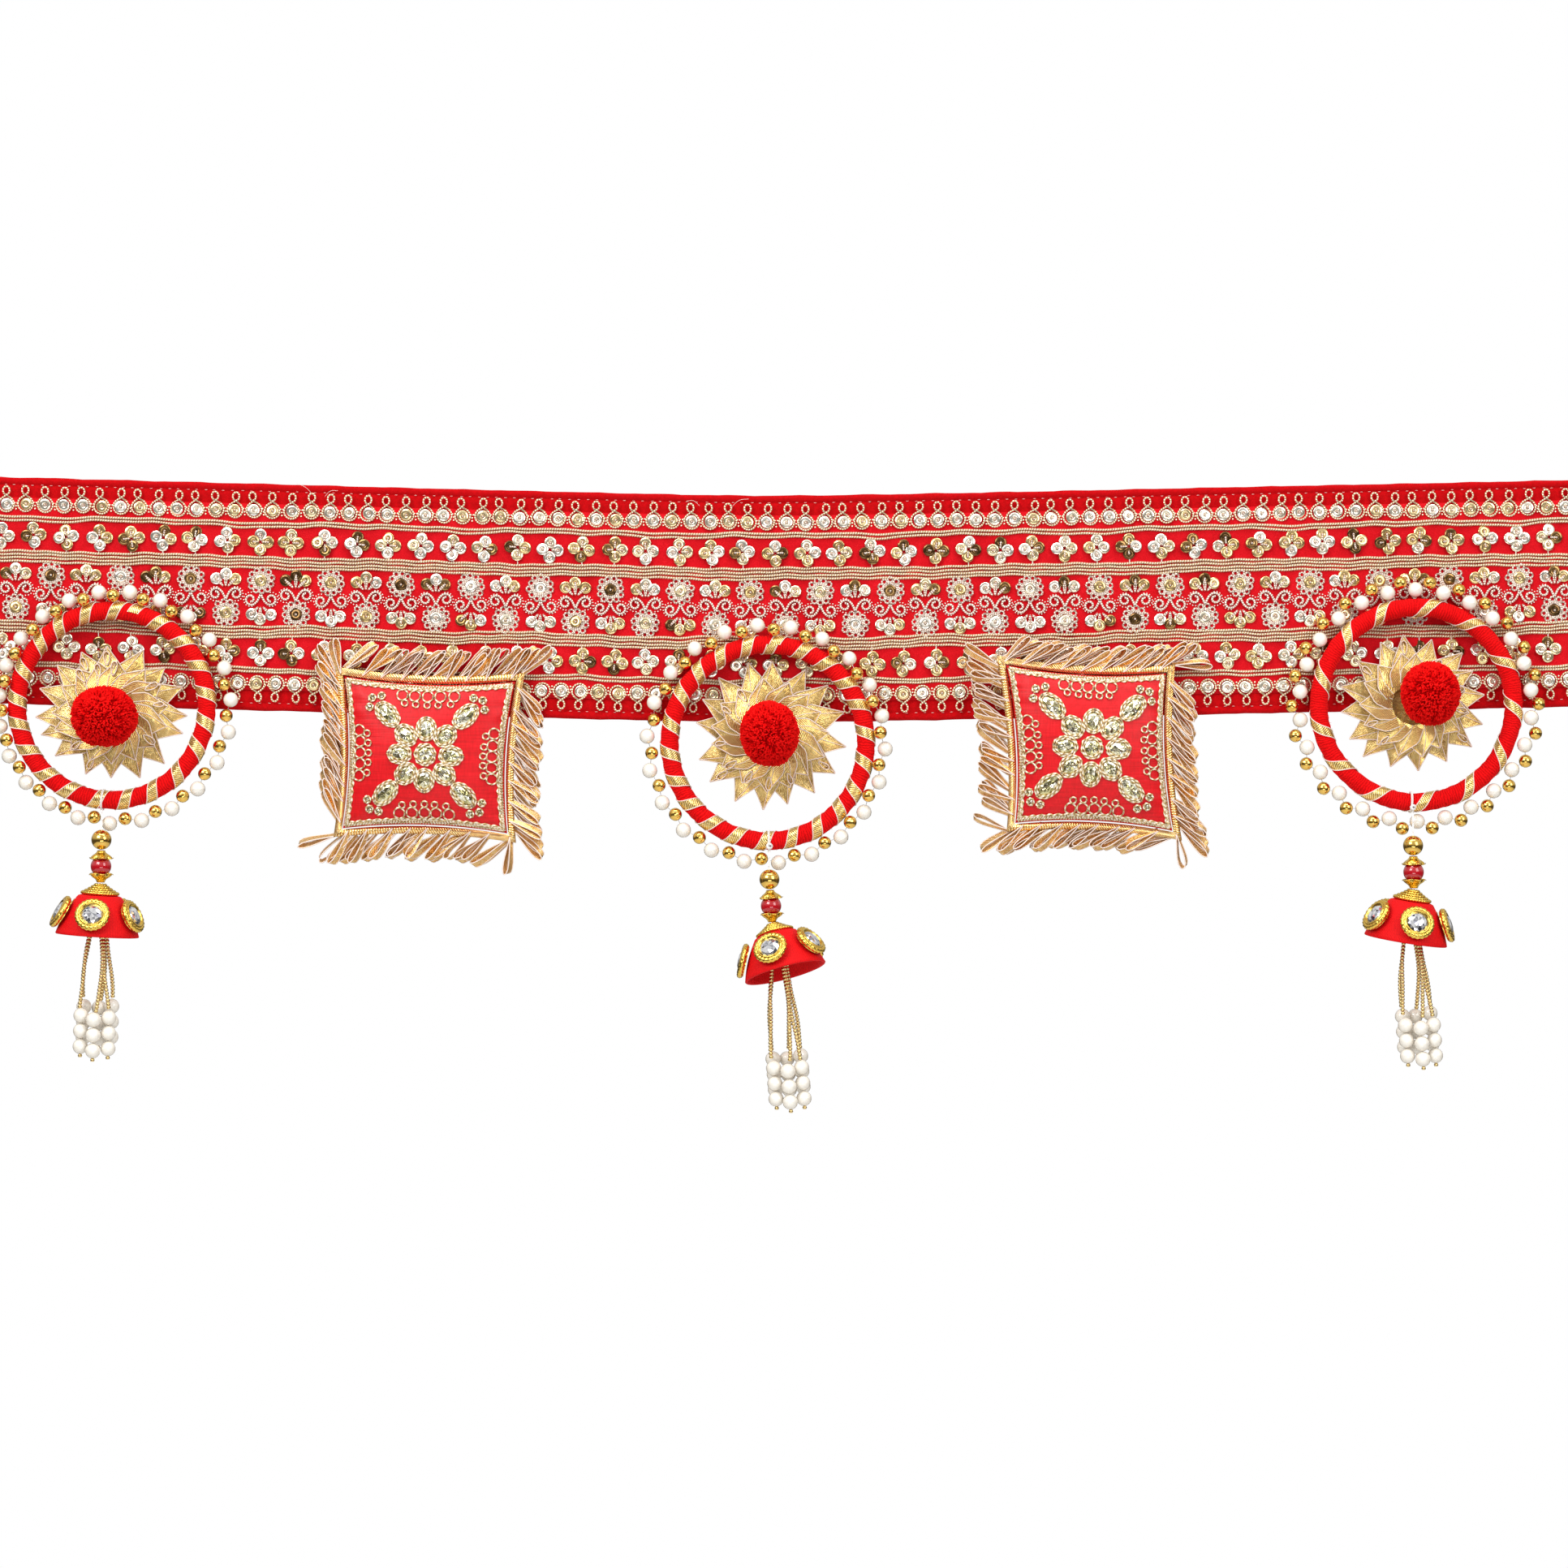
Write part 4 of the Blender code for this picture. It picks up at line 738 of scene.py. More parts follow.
def build_motifs(looks):
    """The middle row: a looped rosette with a pair of scrolls, each next column upside down."""
    batch = Batch("lace_motifs", "gold_ribbon", [looks["silver_zari"]])
    draw = np.random.default_rng(17)
    loop = tube(circle_path(0.00104, 9), 0.00042, 4, True, (0, 0, 1))
    turn = np.linspace(0, 1, 24)
    angle = np.radians(-125.0 + 400.0 * turn)
    reach = 0.0024 * (1 - 0.62 * turn ** 0.8)
    spiral = np.stack([0.0040 + reach * np.cos(angle), reach * np.sin(angle), 0.0001 * turn], -1)
    stem = np.array([[0.0, 0.0022, 0.0], [0.0006, 0.0008, 0.0], [0.0014, -0.0008, 0.0]])
    curl_path = np.concatenate([stem, spiral])
    curl = tube(curl_path, 0.00050, 5, ref=(0, 0, 1))
    mirrored = tube(curl_path * np.array((-1.0, 1.0, 1.0)), 0.00050, 5, ref=(0, 0, 1))
    beads = ball(0.00030, 4, 3)
    for x, inverted in middle_columns():
        sign = -1.0 if inverted else 1.0
        hub = on_band(x, HEIGHT / 2 - sign * 0.0065, LACE_FRONT + 0.0004)
        petals = 11
        around = 2 * np.pi * np.arange(petals) / petals + draw.uniform(0, 0.5)
        reach = 0.00430 + draw.uniform(-0.0003, 0.0003, petals)
        spread = np.stack([reach * np.cos(around), np.zeros(petals), reach * np.sin(around)], -1)
        normals = np.tile(FRONT, (petals, 1)) + draw.uniform(-0.22, 0.22, (petals, 3))
        turns = facing(normals, draw.uniform(0, 6, petals))
        batch.scatter(loop, hub + spread, turns)
        around = np.linspace(0, 2 * np.pi, 19)[:-1]
        for inner in (0.00275, 0.00335):
            wobble = inner + 0.0002 * np.sin(around * 5 + inner * 9000)
            path = hub + np.stack([wobble * np.cos(around), np.zeros(18), wobble * np.sin(around)], -1)
            made = tube(path, 0.0004, 4, True, FRONT)
            batch.add(made[0], made[1], uv=made[2])
        frame_turn = np.array([[1.0, 0, 0], [0, 0, -1.0], [0, sign, 0]])
        at = on_band(x, HEIGHT / 2 + sign * 0.0009, LACE_FRONT + 0.0005)
        for shape in (curl, mirrored):
            faces = shape[1][:, ::-1] if sign < 0 else shape[1]
            batch.add(shape[0] @ frame_turn.T + at, faces, uv=shape[2])
        fringe_angle = np.radians(np.linspace(-100, 95, 9))
        for way in (-1.0, 1.0):
            rim = np.stack([way * (0.0040 + 0.0028 * np.cos(fringe_angle)), 0.0028 * np.sin(fringe_angle),
                            np.zeros(9)], -1)
            batch.scatter(beads, rim @ frame_turn.T + at)
    return batch.make()


def build_links(looks):
    """Short threads from the flowers to the cord rows, and loose thread ends along the top edge."""
    batch = Batch("lace_links", "white_thread", [looks["edge"]])
    draw = np.random.default_rng(23)
    for place, into in both_edges(0.0229):
        for x in np.arange(-HALF_LENGTH + 0.0060, HALF_LENGTH - 0.005, 0.01274):
            drop = np.linspace(0.0045, 0.0065, 4)
            across = np.full(4, x) + draw.uniform(-0.0001, 0.0001, 4)
            path = on_band(across, place + into * drop, LACE_FRONT + 0.0005)
            made = tube(path, 0.00022, 4)
            batch.add(made[0], made[1], uv=made[2])
    # Each loose end: where it leaves the band, how far it runs along it and how high it stands.
    for x, run, rise in ((-0.1795, -0.0070, 0.0058), (-0.1752, 0.0050, 0.0030), (-0.0141, 0.0065, 0.0036),
                         (-0.0270, -0.0052, 0.0026)):
        bend = np.linspace(0, 1, 12)
        path = np.stack([x + run * bend, -0.0014 - 0.0012 * np.sin(np.pi * bend),
                         float(top_edge(x)) - 0.0045 + rise * bend + 0.0008 * np.sin(bend * 4.0)], -1)
        made = tube(path, 0.00007, 4)
        batch.add(made[0], made[1], uv=made[2])
    return batch.make()


# Rings

def ring_middle(side):
    low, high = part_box("ring_" + side)
    x, z = RINGS[side]["middle"]
    return np.array((x, (low.y + high.y) / 2, z))


def torus_point(side, angle, around, reach):
    """Points at angle along a ring, clockwise from its top, and around its tube from its rim."""
    ring = RINGS[side]
    out = np.stack([np.sin(angle), np.zeros_like(angle), np.cos(angle)], -1)
    normal = out * np.cos(around)[..., None] + FRONT * np.sin(around)[..., None]
    return ring_middle(side) + out * ring["radius"] + normal * np.asarray(reach)[..., None], normal


def build_ring(side, looks):
    """Yarn wound round the bangle, with a spiral of gold ribbon edged in white thread."""
    ring = RINGS[side]
    draw = np.random.default_rng(70 + len(side))
    yarn = Batch("ring_yarn_" + side, "red_yarn", [looks["yarn"]])
    steps, sides = 260, 20
    angle, around = np.meshgrid(np.linspace(0, 2 * np.pi, steps), np.linspace(-np.pi, np.pi, sides + 1),
                                indexing="ij")
    lump = 0.00010 * np.sin(angle * 47 + 2 * np.sin(angle * 11)) + 0.00008 * np.sin(around * 2 + angle * 19)
    reach = 0.00352 + lump
    points, _ = torus_point(side, angle, around, reach)
    uv = np.stack([angle * ring["radius"], (around + np.pi) / (2 * np.pi)], -1)
    yarn.add(points, grid_faces(steps, sides + 1), uv=uv)
    ribbon = Batch("ring_ribbon_" + side, "gold_ribbon", [looks["gota"], looks["edge"]])
    turns = ring["turns"]
    n = int(turns * 26)
    t = np.linspace(0, turns, n)
    pitch = 2 * np.pi / turns
    drift = 0.10 * pitch * np.interp(t, np.arange(int(turns) + 2), draw.uniform(-1, 1, int(turns) + 2))
    centre = math.radians(ring["start"]) + pitch * t + drift
    wind = 2 * np.pi * t
    centre = centre - 0.02 * pitch * np.sin(wind)
    half_width = 0.00205
    half = half_width / ring["radius"]
    across = np.linspace(-1, 1, 6)
    angle = centre[:, None] + half * across[None]
    around = np.broadcast_to(-wind[:, None] + np.pi / 2, angle.shape)
    reach = 0.00370 + 0.00012 * (1 - across[None] ** 2) + 0.00006 * np.sin(t * 9)[:, None]
    points, normals = torus_point(side, angle, around, np.broadcast_to(reach, angle.shape))
    along = np.concatenate([[0], np.cumsum(np.linalg.norm(np.diff(points[:, 2], axis=0), axis=1))])
    uv = np.stack(np.broadcast_arrays(along[:, None], across[None] * half_width), -1)
    ribbon.add(points, grid_faces(n, 6)[:, ::-1], uv=uv)
    for edge in (0, 5):
        path = points[:, edge] + normals[:, edge] * 0.00008
        made = tube(path, 0.00021, 4, ref=normals[:, edge])
        ribbon.add(made[0], made[1], uv=made[2], material=1)
    fuzz = Batch("ring_fuzz_" + side, "red_yarn", [looks["pompom"]])
    hair = np.array([[0, 0, 0], [0.00005, 0, 0.0004], [0.0002, 0, 0.0008]])
    hair_shape = tube(hair, (0.00006, 0.00005, 0.00002), 3, ref=(0, 1, 0))
    count = 400
    a, b = draw.uniform(0, 2 * np.pi, count), draw.uniform(-0.3, np.pi + 0.3, count)
    where, normal = torus_point(side, a, b, np.full(count, 0.0034))
    leaning = normal + draw.uniform(-0.7, 0.7, (count, 3))
    fuzz.scatter(hair_shape, where, facing(leaning, draw.uniform(0, 6, count)), 0.8)
    ribbon.make()
    fuzz.make()
    return yarn.make(["ring_" + side])


def bead_places(side):
    ring = RINGS[side]
    middle = ring_middle(side)
    count = 2 * ring["pairs"]
    k = np.arange(count)
    pearl = k % 2 == 0
    angle = math.radians(ring["tie"]) + 2 * np.pi * (k + 0.5) / count
    size = np.where(pearl, PEARL, GOLD)
    out = np.where(pearl, ring["pearl"], ring["gold"])
    out = out + ring["slack"] * (1 + np.cos(angle - math.radians(ring["slack_angle"]))) / 2
    clear = TUBE + size + 0.0003
    forward = np.sqrt(np.maximum(0.0, clear ** 2 - out ** 2))
    reach = ring["radius"] + out
    return middle + np.stack([reach * np.cos(angle), -forward, reach * np.sin(angle)], -1), pearl


def build_bead_string(side, looks):
    places, pearl = bead_places(side)
    draw = np.random.default_rng(33 + len(side))
    pearls = Batch("ring_pearls_" + side, "pearl", [looks["pearl"]])
    golds = Batch("ring_gold_beads_" + side, "gold_plate", [looks["gold"]])
    turns = facing(draw.uniform(-1, 1, (len(places), 3)))
    pearls.scatter(ball(PEARL, 16, 9), places[pearl], turns[pearl])
    golds.scatter(ball(GOLD, 16, 9), places[~pearl], turns[~pearl])
    thread = Batch("ring_nylon_" + side, "white_thread", [looks["nylon"]])
    closed = np.concatenate([places, places[:1]])
    path = np.concatenate([np.linspace(a, b, 5)[:-1] for a, b in zip(closed, closed[1:])])
    made = tube(path, 0.00013, 4, True)
    thread.add(made[0], made[1])
    golds.make()
    thread.make()
    return pearls.make(["bead_string_" + side])


# Flowers and pompoms

def petal_grid(length, half_width, full, ridge, slope, crease, droop):
    """One folded ribbon petal along +X, pointed at its tip, with a crease and one side higher: (grid, uv)."""
    u = np.linspace(0.0, 1.0, 9)
    v = np.linspace(-1.0, 1.0, 7)
    gu, gv = np.meshgrid(u, v, indexing="ij")
    width = half_width * np.clip((1.0 - gu) / full, 0.02, 1.0)
    place = np.where(gv < 0, (gv + 1) * (1 + crease) - 1, crease + gv * (1 - crease))
    tent = np.where(gv < 0, gv + 1, 1 - gv)
    height = ridge * tent * (1 - 0.7 * gu) + slope * place * width - droop * gu ** 1.5
    grid = np.stack([gu * length, place * width, height], -1)
    return grid, np.stack([gu * length, place * half_width], -1)


def build_flower(side, looks):
    """Two tiers of folded gold ribbon petals with white thread edges, and open folds at some inner tips."""
    flower = FLOWERS[side]
    draw = np.random.default_rng(flower["seed"])
    x, z = flower["middle"]
    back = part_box("flower_" + side)[1].y
    batch = Batch("flower_ribbon_" + side, "gold_ribbon", [looks["gota"], looks["edge"]])
    hub = revolve([(0.0, 0.0040), (0.0085, 0.0036), (0.0120, 0.0020), (0.0150, 0.0006), (0.0150, 0.0002),
                   (0.0, 0.0002)], 32)
    turned = moved(hub, Matrix.Translation((x, back, z)) @ Matrix.Rotation(math.pi / 2, 4, "X"))
    batch.add(turned[0], turned[1], uv=turned[2])
    # Each tier: reach, turn in petals, height, half width, slope of its overlap, petals, root share.
    tiers = ((1.0, 0.0, 0.0018, 0.0066, 0.20, 16, 0.26), (0.76, 0.45, 0.0044, 0.0060, 0.22, 15, 0.30))
    for tier, (share, shift, lift, half_width, slope, count, root_share) in enumerate(tiers):
        for k in range(count):
            angle = math.radians(90.0 + flower["turn"]) - 2 * math.pi * (k + shift) / count
            angle += draw.uniform(-0.05, 0.05)
            reach = share * draw.uniform(0.95, 1.02)
            tip = reach * np.array((flower["wide"] * math.cos(angle), flower["tall"] * math.sin(angle)))
            root = tip * root_share / reach
            length = float(np.linalg.norm(tip - root))
            droop = draw.uniform(0.0006, 0.0014) if tier == 0 else draw.uniform(-0.0008, 0.0010)
            crease = draw.uniform(0.05, 0.45)
            spread = half_width * draw.uniform(0.94, 1.06)
            ridge = draw.uniform(0.0006, 0.0011)
            grid, uv = petal_grid(length, spread, 0.56, ridge, slope, crease, droop)
            along = (tip - root) / length
            spin = draw.uniform(-0.08, 0.08) - 0.06
            along = np.array((along[0] * math.cos(spin) - along[1] * math.sin(spin),
                              along[0] * math.sin(spin) + along[1] * math.cos(spin)))
            aside = np.array((-along[1], along[0]))
            points = np.zeros(grid.shape)
            points[..., 0] = x + root[0] + grid[..., 0] * along[0] + grid[..., 1] * aside[0]
            points[..., 2] = z + root[1] + grid[..., 0] * along[1] + grid[..., 1] * aside[1]
            points[..., 1] = np.minimum(back - lift - grid[..., 2], back - 0.0003)
            rows, columns = grid.shape[:2]
            batch.add(points, grid_faces(rows, columns)[:, ::-1], uv=uv)
            outline = np.concatenate([points[:, 0], points[::-1, -1]]) + FRONT * 0.0001
            made = tube(outline, 0.00019, 4)
            batch.add(made[0], made[1], uv=made[2], material=1)
            fold = points[:, 3] * 0.55 + points[:, 4] * 0.45 + FRONT * 0.00012
            made = tube(fold, 0.00013, 3)
            batch.add(made[0], made[1], uv=made[2], material=1)
            if draw.random() < (0.5 if tier else 0.2):
                add_open_fold(batch, points[-3, 3], along, aside, draw)
    return batch.make(["flower_" + side])


def add_open_fold(batch, place, along, aside, draw):
    """A small open loop of ribbon that stands up from a petal, with white edges."""
    size = draw.uniform(0.0011, 0.0019)
    bend = np.linspace(0, 2 * np.pi, 15)[:-1]
    long = np.array((along[0], 0.0, along[1]))
    wide = np.array((aside[0], 0.0, aside[1]))
    loop = place + FRONT * 0.0006 + np.outer(size * 1.5 * np.cos(bend), long) + np.outer(
        size * 0.62 * np.sin(bend) * (1 + 0.4 * np.cos(bend)), wide)
    depth = -FRONT * 0.0014 - long * 0.0016
    steps = np.linspace(0, 1, 3)[:, None, None]
    wall = loop[None] + depth * steps
    uv = np.stack(np.broadcast_arrays(bend[None] * size, steps[..., 0] * 0.0028), -1)
    batch.add(wall, grid_faces(3, 14, wrap_columns=True), uv=uv)
    made = tube(loop, 0.00019, 4, True)
    batch.add(made[0], made[1], uv=made[2], material=1)


def build_pompom(side, looks):
    """A ball of cut wool ends that gather in small clumps."""
    low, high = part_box("pompom_" + side)
    centre = np.array((low + high) / 2)
    wide, tall = POMPOMS[side]
    draw = np.random.default_rng(50 + len(side))
    depth = (high.y - low.y) / 2
    shape = np.array((wide * 0.0121, depth * 0.98, tall * 0.0121))
    batch = Batch("pompom_yarn_" + side, "red_yarn", [looks["pompom"]])
    core = ball(0.86, 28, 16)
    # The core's low tone is painted shade inside the ball.
    batch.add(core[0] * shape + centre, core[1], 0.2)
    clumps = unit(draw.normal(size=(330, 3)))
    count = 3900
    k = np.arange(count) + 0.5
    polar, spin = np.arccos(1 - 2 * k / count), np.pi * (1 + 5 ** 0.5) * k
    normal = np.stack([np.sin(polar) * np.cos(spin), np.sin(polar) * np.sin(spin), np.cos(polar)], -1)
    normal = normal[normal[:, 1] < 0.7]
    count = len(normal)
    near = clumps[np.argmax(normal @ clumps.T, 1)]
    away = np.linalg.norm(normal - near, axis=1)
    tip_way = unit(normal * 0.62 + near * 0.38 + draw.normal(size=(count, 3)) * 0.05)
    uneven = 0.03 * np.sin(normal[:, 0] * 5 + 2) * np.cos(normal[:, 2] * 4 + 1)
    uneven = uneven + draw.uniform(-0.02, 0.02, count)
    length = 1.02 - 0.42 * away ** 1.0 * 0.5 + uneven
    root = normal * shape * 0.78 + centre
    tip = tip_way * shape * length[:, None] + centre
    sides = np.arange(3) * 2 * np.pi / 3
    first = unit(np.cross(normal, (0.3, 0.2, 0.9)))
    second = np.cross(normal, first)
    spoke = first[:, None] * np.cos(sides)[None, :, None] + second[:, None] * np.sin(sides)[None, :, None]
    thick = draw.uniform(0.00026, 0.00038, count)[:, None, None]
    rows = [root[:, None] + spoke * thick, tip[:, None] + spoke * thick * 1.2]
    end = (tip + tip_way * 0.00015)[:, None]
    verts = np.concatenate([*rows, end], 1).reshape(-1, 3)
    base = (np.arange(count) * 7)[:, None]
    quads = np.concatenate([base + np.array([i, (i + 1) % 3, 3 + (i + 1) % 3, 3 + i]) for i in range(3)])
    tris = np.concatenate([base + np.array([3 + i, 3 + (i + 1) % 3, 6]) for i in range(3)])
    # Painted shade: the strands are darker at their roots and further from their clump's middle.
    height = np.clip(1.05 - 1.9 * away, 0.35, 1.0) * draw.uniform(0.85, 1.12, count)
    tone = (height[:, None] * np.array([0.1] * 3 + [0.85] * 3 + [0.95])[None]).ravel()
    start = batch.count
    batch.add(verts, quads, tone)
    batch.tris.append(tris + start)
    batch.tri_mat.append(np.zeros(len(tris)))
    return batch.make(["pompom_" + side])


# Cushions

def outline(side, u, v, spread=0.0):
    cushion = CUSHIONS[side]
    half_w, half_h = cushion["size"][0] / 2 + spread, cushion["size"][1] / 2 + spread
    x = u * (half_w - DRAWN_IN * (1 - v * v)) * (1 + cushion["taper"] * v)
    z = v * (half_h - DRAWN_IN * (1 - u * u))
    return x - cushion["lean"] * z, z


def cushion_matrix(side):
    x, z = CUSHIONS[side]["middle"]
    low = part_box("cushion_" + side)[0]
    return Matrix.Translation((x, low.y + CUSHION_FRONT, z)) @ turn_y(CUSHIONS[side]["turn"])


def build_cushion(side, looks):
    """The silk cover: a crowned pillow with puckers along its sewn edge."""
    cushion = CUSHIONS[side]
    n = 50
    spread = np.sin(np.pi / 2 * np.linspace(-1, 1, n + 1))
    gv, gu = np.meshgrid(spread, spread, indexing="ij")
    x, z = outline(side, gu, gv)
    crown = np.maximum(0.0, (1 - gu ** 2) * (1 - gv ** 2)) ** ROUNDNESS
    s = cushion["seed"]
    edge_u, edge_v = 1 - np.abs(gu), 1 - np.abs(gv)
    pucker = (np.sin(gv * 31 + s) * np.exp(-edge_u / 0.14) * np.minimum(1, edge_u / 0.03)
              + np.sin(gu * 29 + 2 * s) * np.exp(-edge_v / 0.14) * np.minimum(1, edge_v / 0.03))
    diagonal = np.sin(18 * (np.abs(gu) - np.abs(gv)) + s * 0.7) * np.abs(gu * gv) ** 1.5
    diagonal = diagonal * np.exp(-2 * edge_u * edge_v)
    soft = 0.5 * np.sin(5 * gu + 3 * gv + s) + 0.5 * np.sin(7 * gv - 4 * gu + 2 * s)
    fold = 0.00042 * pucker + 0.00055 * diagonal * crown + 0.00030 * soft * crown
    fold = fold * np.minimum(1, crown * 3)
    front = np.stack([x, -(CUSHION_FRONT * 0.97 * crown) - fold, z], -1)
    back = np.stack([x, CUSHION_BACK * 0.97 * crown + 0.5 * fold, z], -1)
    matrix = np.array(cushion_matrix(side), float)
    batch = Batch("cushion_cover_" + side, "red_silk", [looks["silk"]])
    for grid, flip in ((front, False), (back, True)):
        faces = grid_faces(n + 1, n + 1)
        batch.add(grid @ matrix[:3, :3].T + matrix[:3, 3], faces[:, ::-1] if flip else faces)
    obj = batch.make(["cushion_" + side])
    surface = BVHTree.FromPolygons(front.reshape(-1, 3).tolist(), grid_faces(n + 1, n + 1).tolist())
    return obj, surface


def lay_on(surface, x, z, lift):
    """Points in a cushion's frame on its front at x and z, lifted off it."""
    points = []
    last = -0.001
    for a, b in zip(x, z):
        hit = surface.ray_cast(Vector((a, -0.05, b)), Vector((0, 1, 0)))
        last = hit[0].y if hit[0] is not None else min(last + 0.0006, 0.0)
        points.append((a, last - lift, b))
    return np.array(points)


def edge_point(side, travel, spread):
    edge = (np.asarray(travel) % 4.0).astype(int)
    along = 2 * (np.asarray(travel) % 1.0) - 1
    one = np.ones_like(along)
    u = np.choose(edge, (along, one, -along, -one))
    v = np.choose(edge, (one, -along, -one, along))
    x, z = outline(side, u, v, spread)
    return np.stack([x, np.zeros_like(x), z], -1)


def oval(a, b, angle, cx, cz, steps):
    t = np.linspace(0, 2 * np.pi, steps + 1)[:-1]
    x, z = a * np.cos(t), b * np.sin(t)
    return cx + x * math.cos(angle) - z * math.sin(angle), cz + x * math.sin(angle) + z * math.cos(angle)


def build_embroidery(side, surface, looks):
    """The cushion's X of foil ovals in cord, its braid border and the looped drops along its edges."""
    cushion = CUSHIONS[side]
    draw = np.random.default_rng(80 + cushion["seed"])
    matrix = np.array(cushion_matrix(side), float)
    cords = Batch("cushion_cord_" + side, "gold_ribbon", [looks["braid"]])
    foils = Batch("cushion_foil_" + side, "gold_ribbon", [looks["leaf"]], smooth=False)

    def out(points):
        return points @ matrix[:3, :3].T + matrix[:3, 3]

    def corded(x, z, radius, closed=True, lift=0.0004, bumpy=True):
        bulge = (lambda run, angle: 1 + 0.22 * np.sin(2 * np.pi * run / 0.0011 + angle)) if bumpy else None
        made = tube(out(lay_on(surface, x, z, lift)), radius, 5, closed, bulge=bulge)
        cords.add(made[0], made[1], uv=made[2])

    def foil(a, b, angle, cx, cz):
        steps = 14
        rims = []
        for share, lift in ((1.0, 0.0002), (0.62, 0.0008), (0.02, 0.0010)):
            x, z = oval(a * share, b * share, angle, cx, cz, steps)
            rims.append(out(lay_on(surface, x, z, lift)))
        for k in range(steps):
            j = (k + 1) % steps
            for near, far in zip(rims, rims[1:]):
                quad = np.array([near[k], near[j], far[j], far[k]]) + draw.uniform(-0.00012, 0.00012, (4, 3))
                # A random tone per piece of foil: a painted reflection.
                foils.add(quad, [[0, 1, 2, 3]], tone=draw.choice([0.08, 0.3, 0.5, 0.7, 1.0]))
        for grown, radius, lift in ((0.0003, 0.00042, 0.0005), (0.0011, 0.00046, 0.0003)):
            if a < 0.0015 and grown > 0.001:
                continue
            x, z = oval(a + grown, b + grown, angle, cx, cz, 34)
            spin = np.linspace(0, 2 * np.pi, 35)[:-1]
            jitter = 0.00016 * np.sin(7 * spin + draw.uniform(0, 6)) + 0.0001 * np.sin(13 * spin)
            corded(x + jitter * np.cos(spin), z + jitter * np.sin(spin), radius, lift=lift)

    span = min(cushion["size"]) / 0.0600
    foil(0.0029 * span, 0.0031 * span, 0.0, 0.0, 0.0)
    for k in range(8):
        angle = math.pi / 4 * k + draw.uniform(-0.03, 0.03)
        reach = (0.0107 if k % 2 else 0.0101) * span
        foil(0.0035 * span, 0.0027 * span, angle, reach * math.cos(angle), reach * math.sin(angle))
    for k in range(4):
        angle = math.pi / 4 + math.pi / 2 * k + draw.uniform(-0.03, 0.03)
        cx, cz = 0.0218 * span * math.cos(angle), 0.0218 * span * math.sin(angle)
        foil(0.0047 * span, 0.0026 * span, angle, cx, cz)
        for turn, far in ((-0.11, 0.0290), (0.0, 0.0308), (0.11, 0.0290)):
            lx, lz = far * span * math.cos(angle + turn), far * span * math.sin(angle + turn)
            foil(0.0010, 0.0010, angle, lx, lz)
    travel = np.linspace(0, 4, 440, endpoint=False)
    # Each cord of the border: its place from the seam, its wave, how many to a side and their phase.
    border = ((-0.0014, 0.0008, 26, 0.0), (-0.0014, 0.0008, 26, np.pi), (-0.0024, 0.00025, 17, 0.3))
    for shift, wave, times, phase in border:
        wobble = shift + wave * np.sin(travel * 2 * np.pi * times + phase)
        points = np.array([edge_point(side, t, w) for t, w in zip(travel, wobble)])
        corded(points[:, 0], points[:, 2], 0.00044, True, 0.0003, False)
    for edge in range(4):
        for k in range(5):
            share = 0.5 + (k - 2) * 0.088 + draw.uniform(-0.004, 0.004)
            root = edge_point(side, edge + share, -0.0026)
            inward = unit(edge_point(side, edge + share, -0.010) - root)
            first = root + inward * 0.0022
            second = root + inward * 0.0056
            for middle, size in ((first, 0.0021), (second, 0.0012)):
                t = np.linspace(0, 2 * np.pi, 17)[:-1]
                corded(middle[0] + size * np.cos(t), middle[2] + size * np.sin(t), 0.00036)
    foils.make()
    return cords.make()


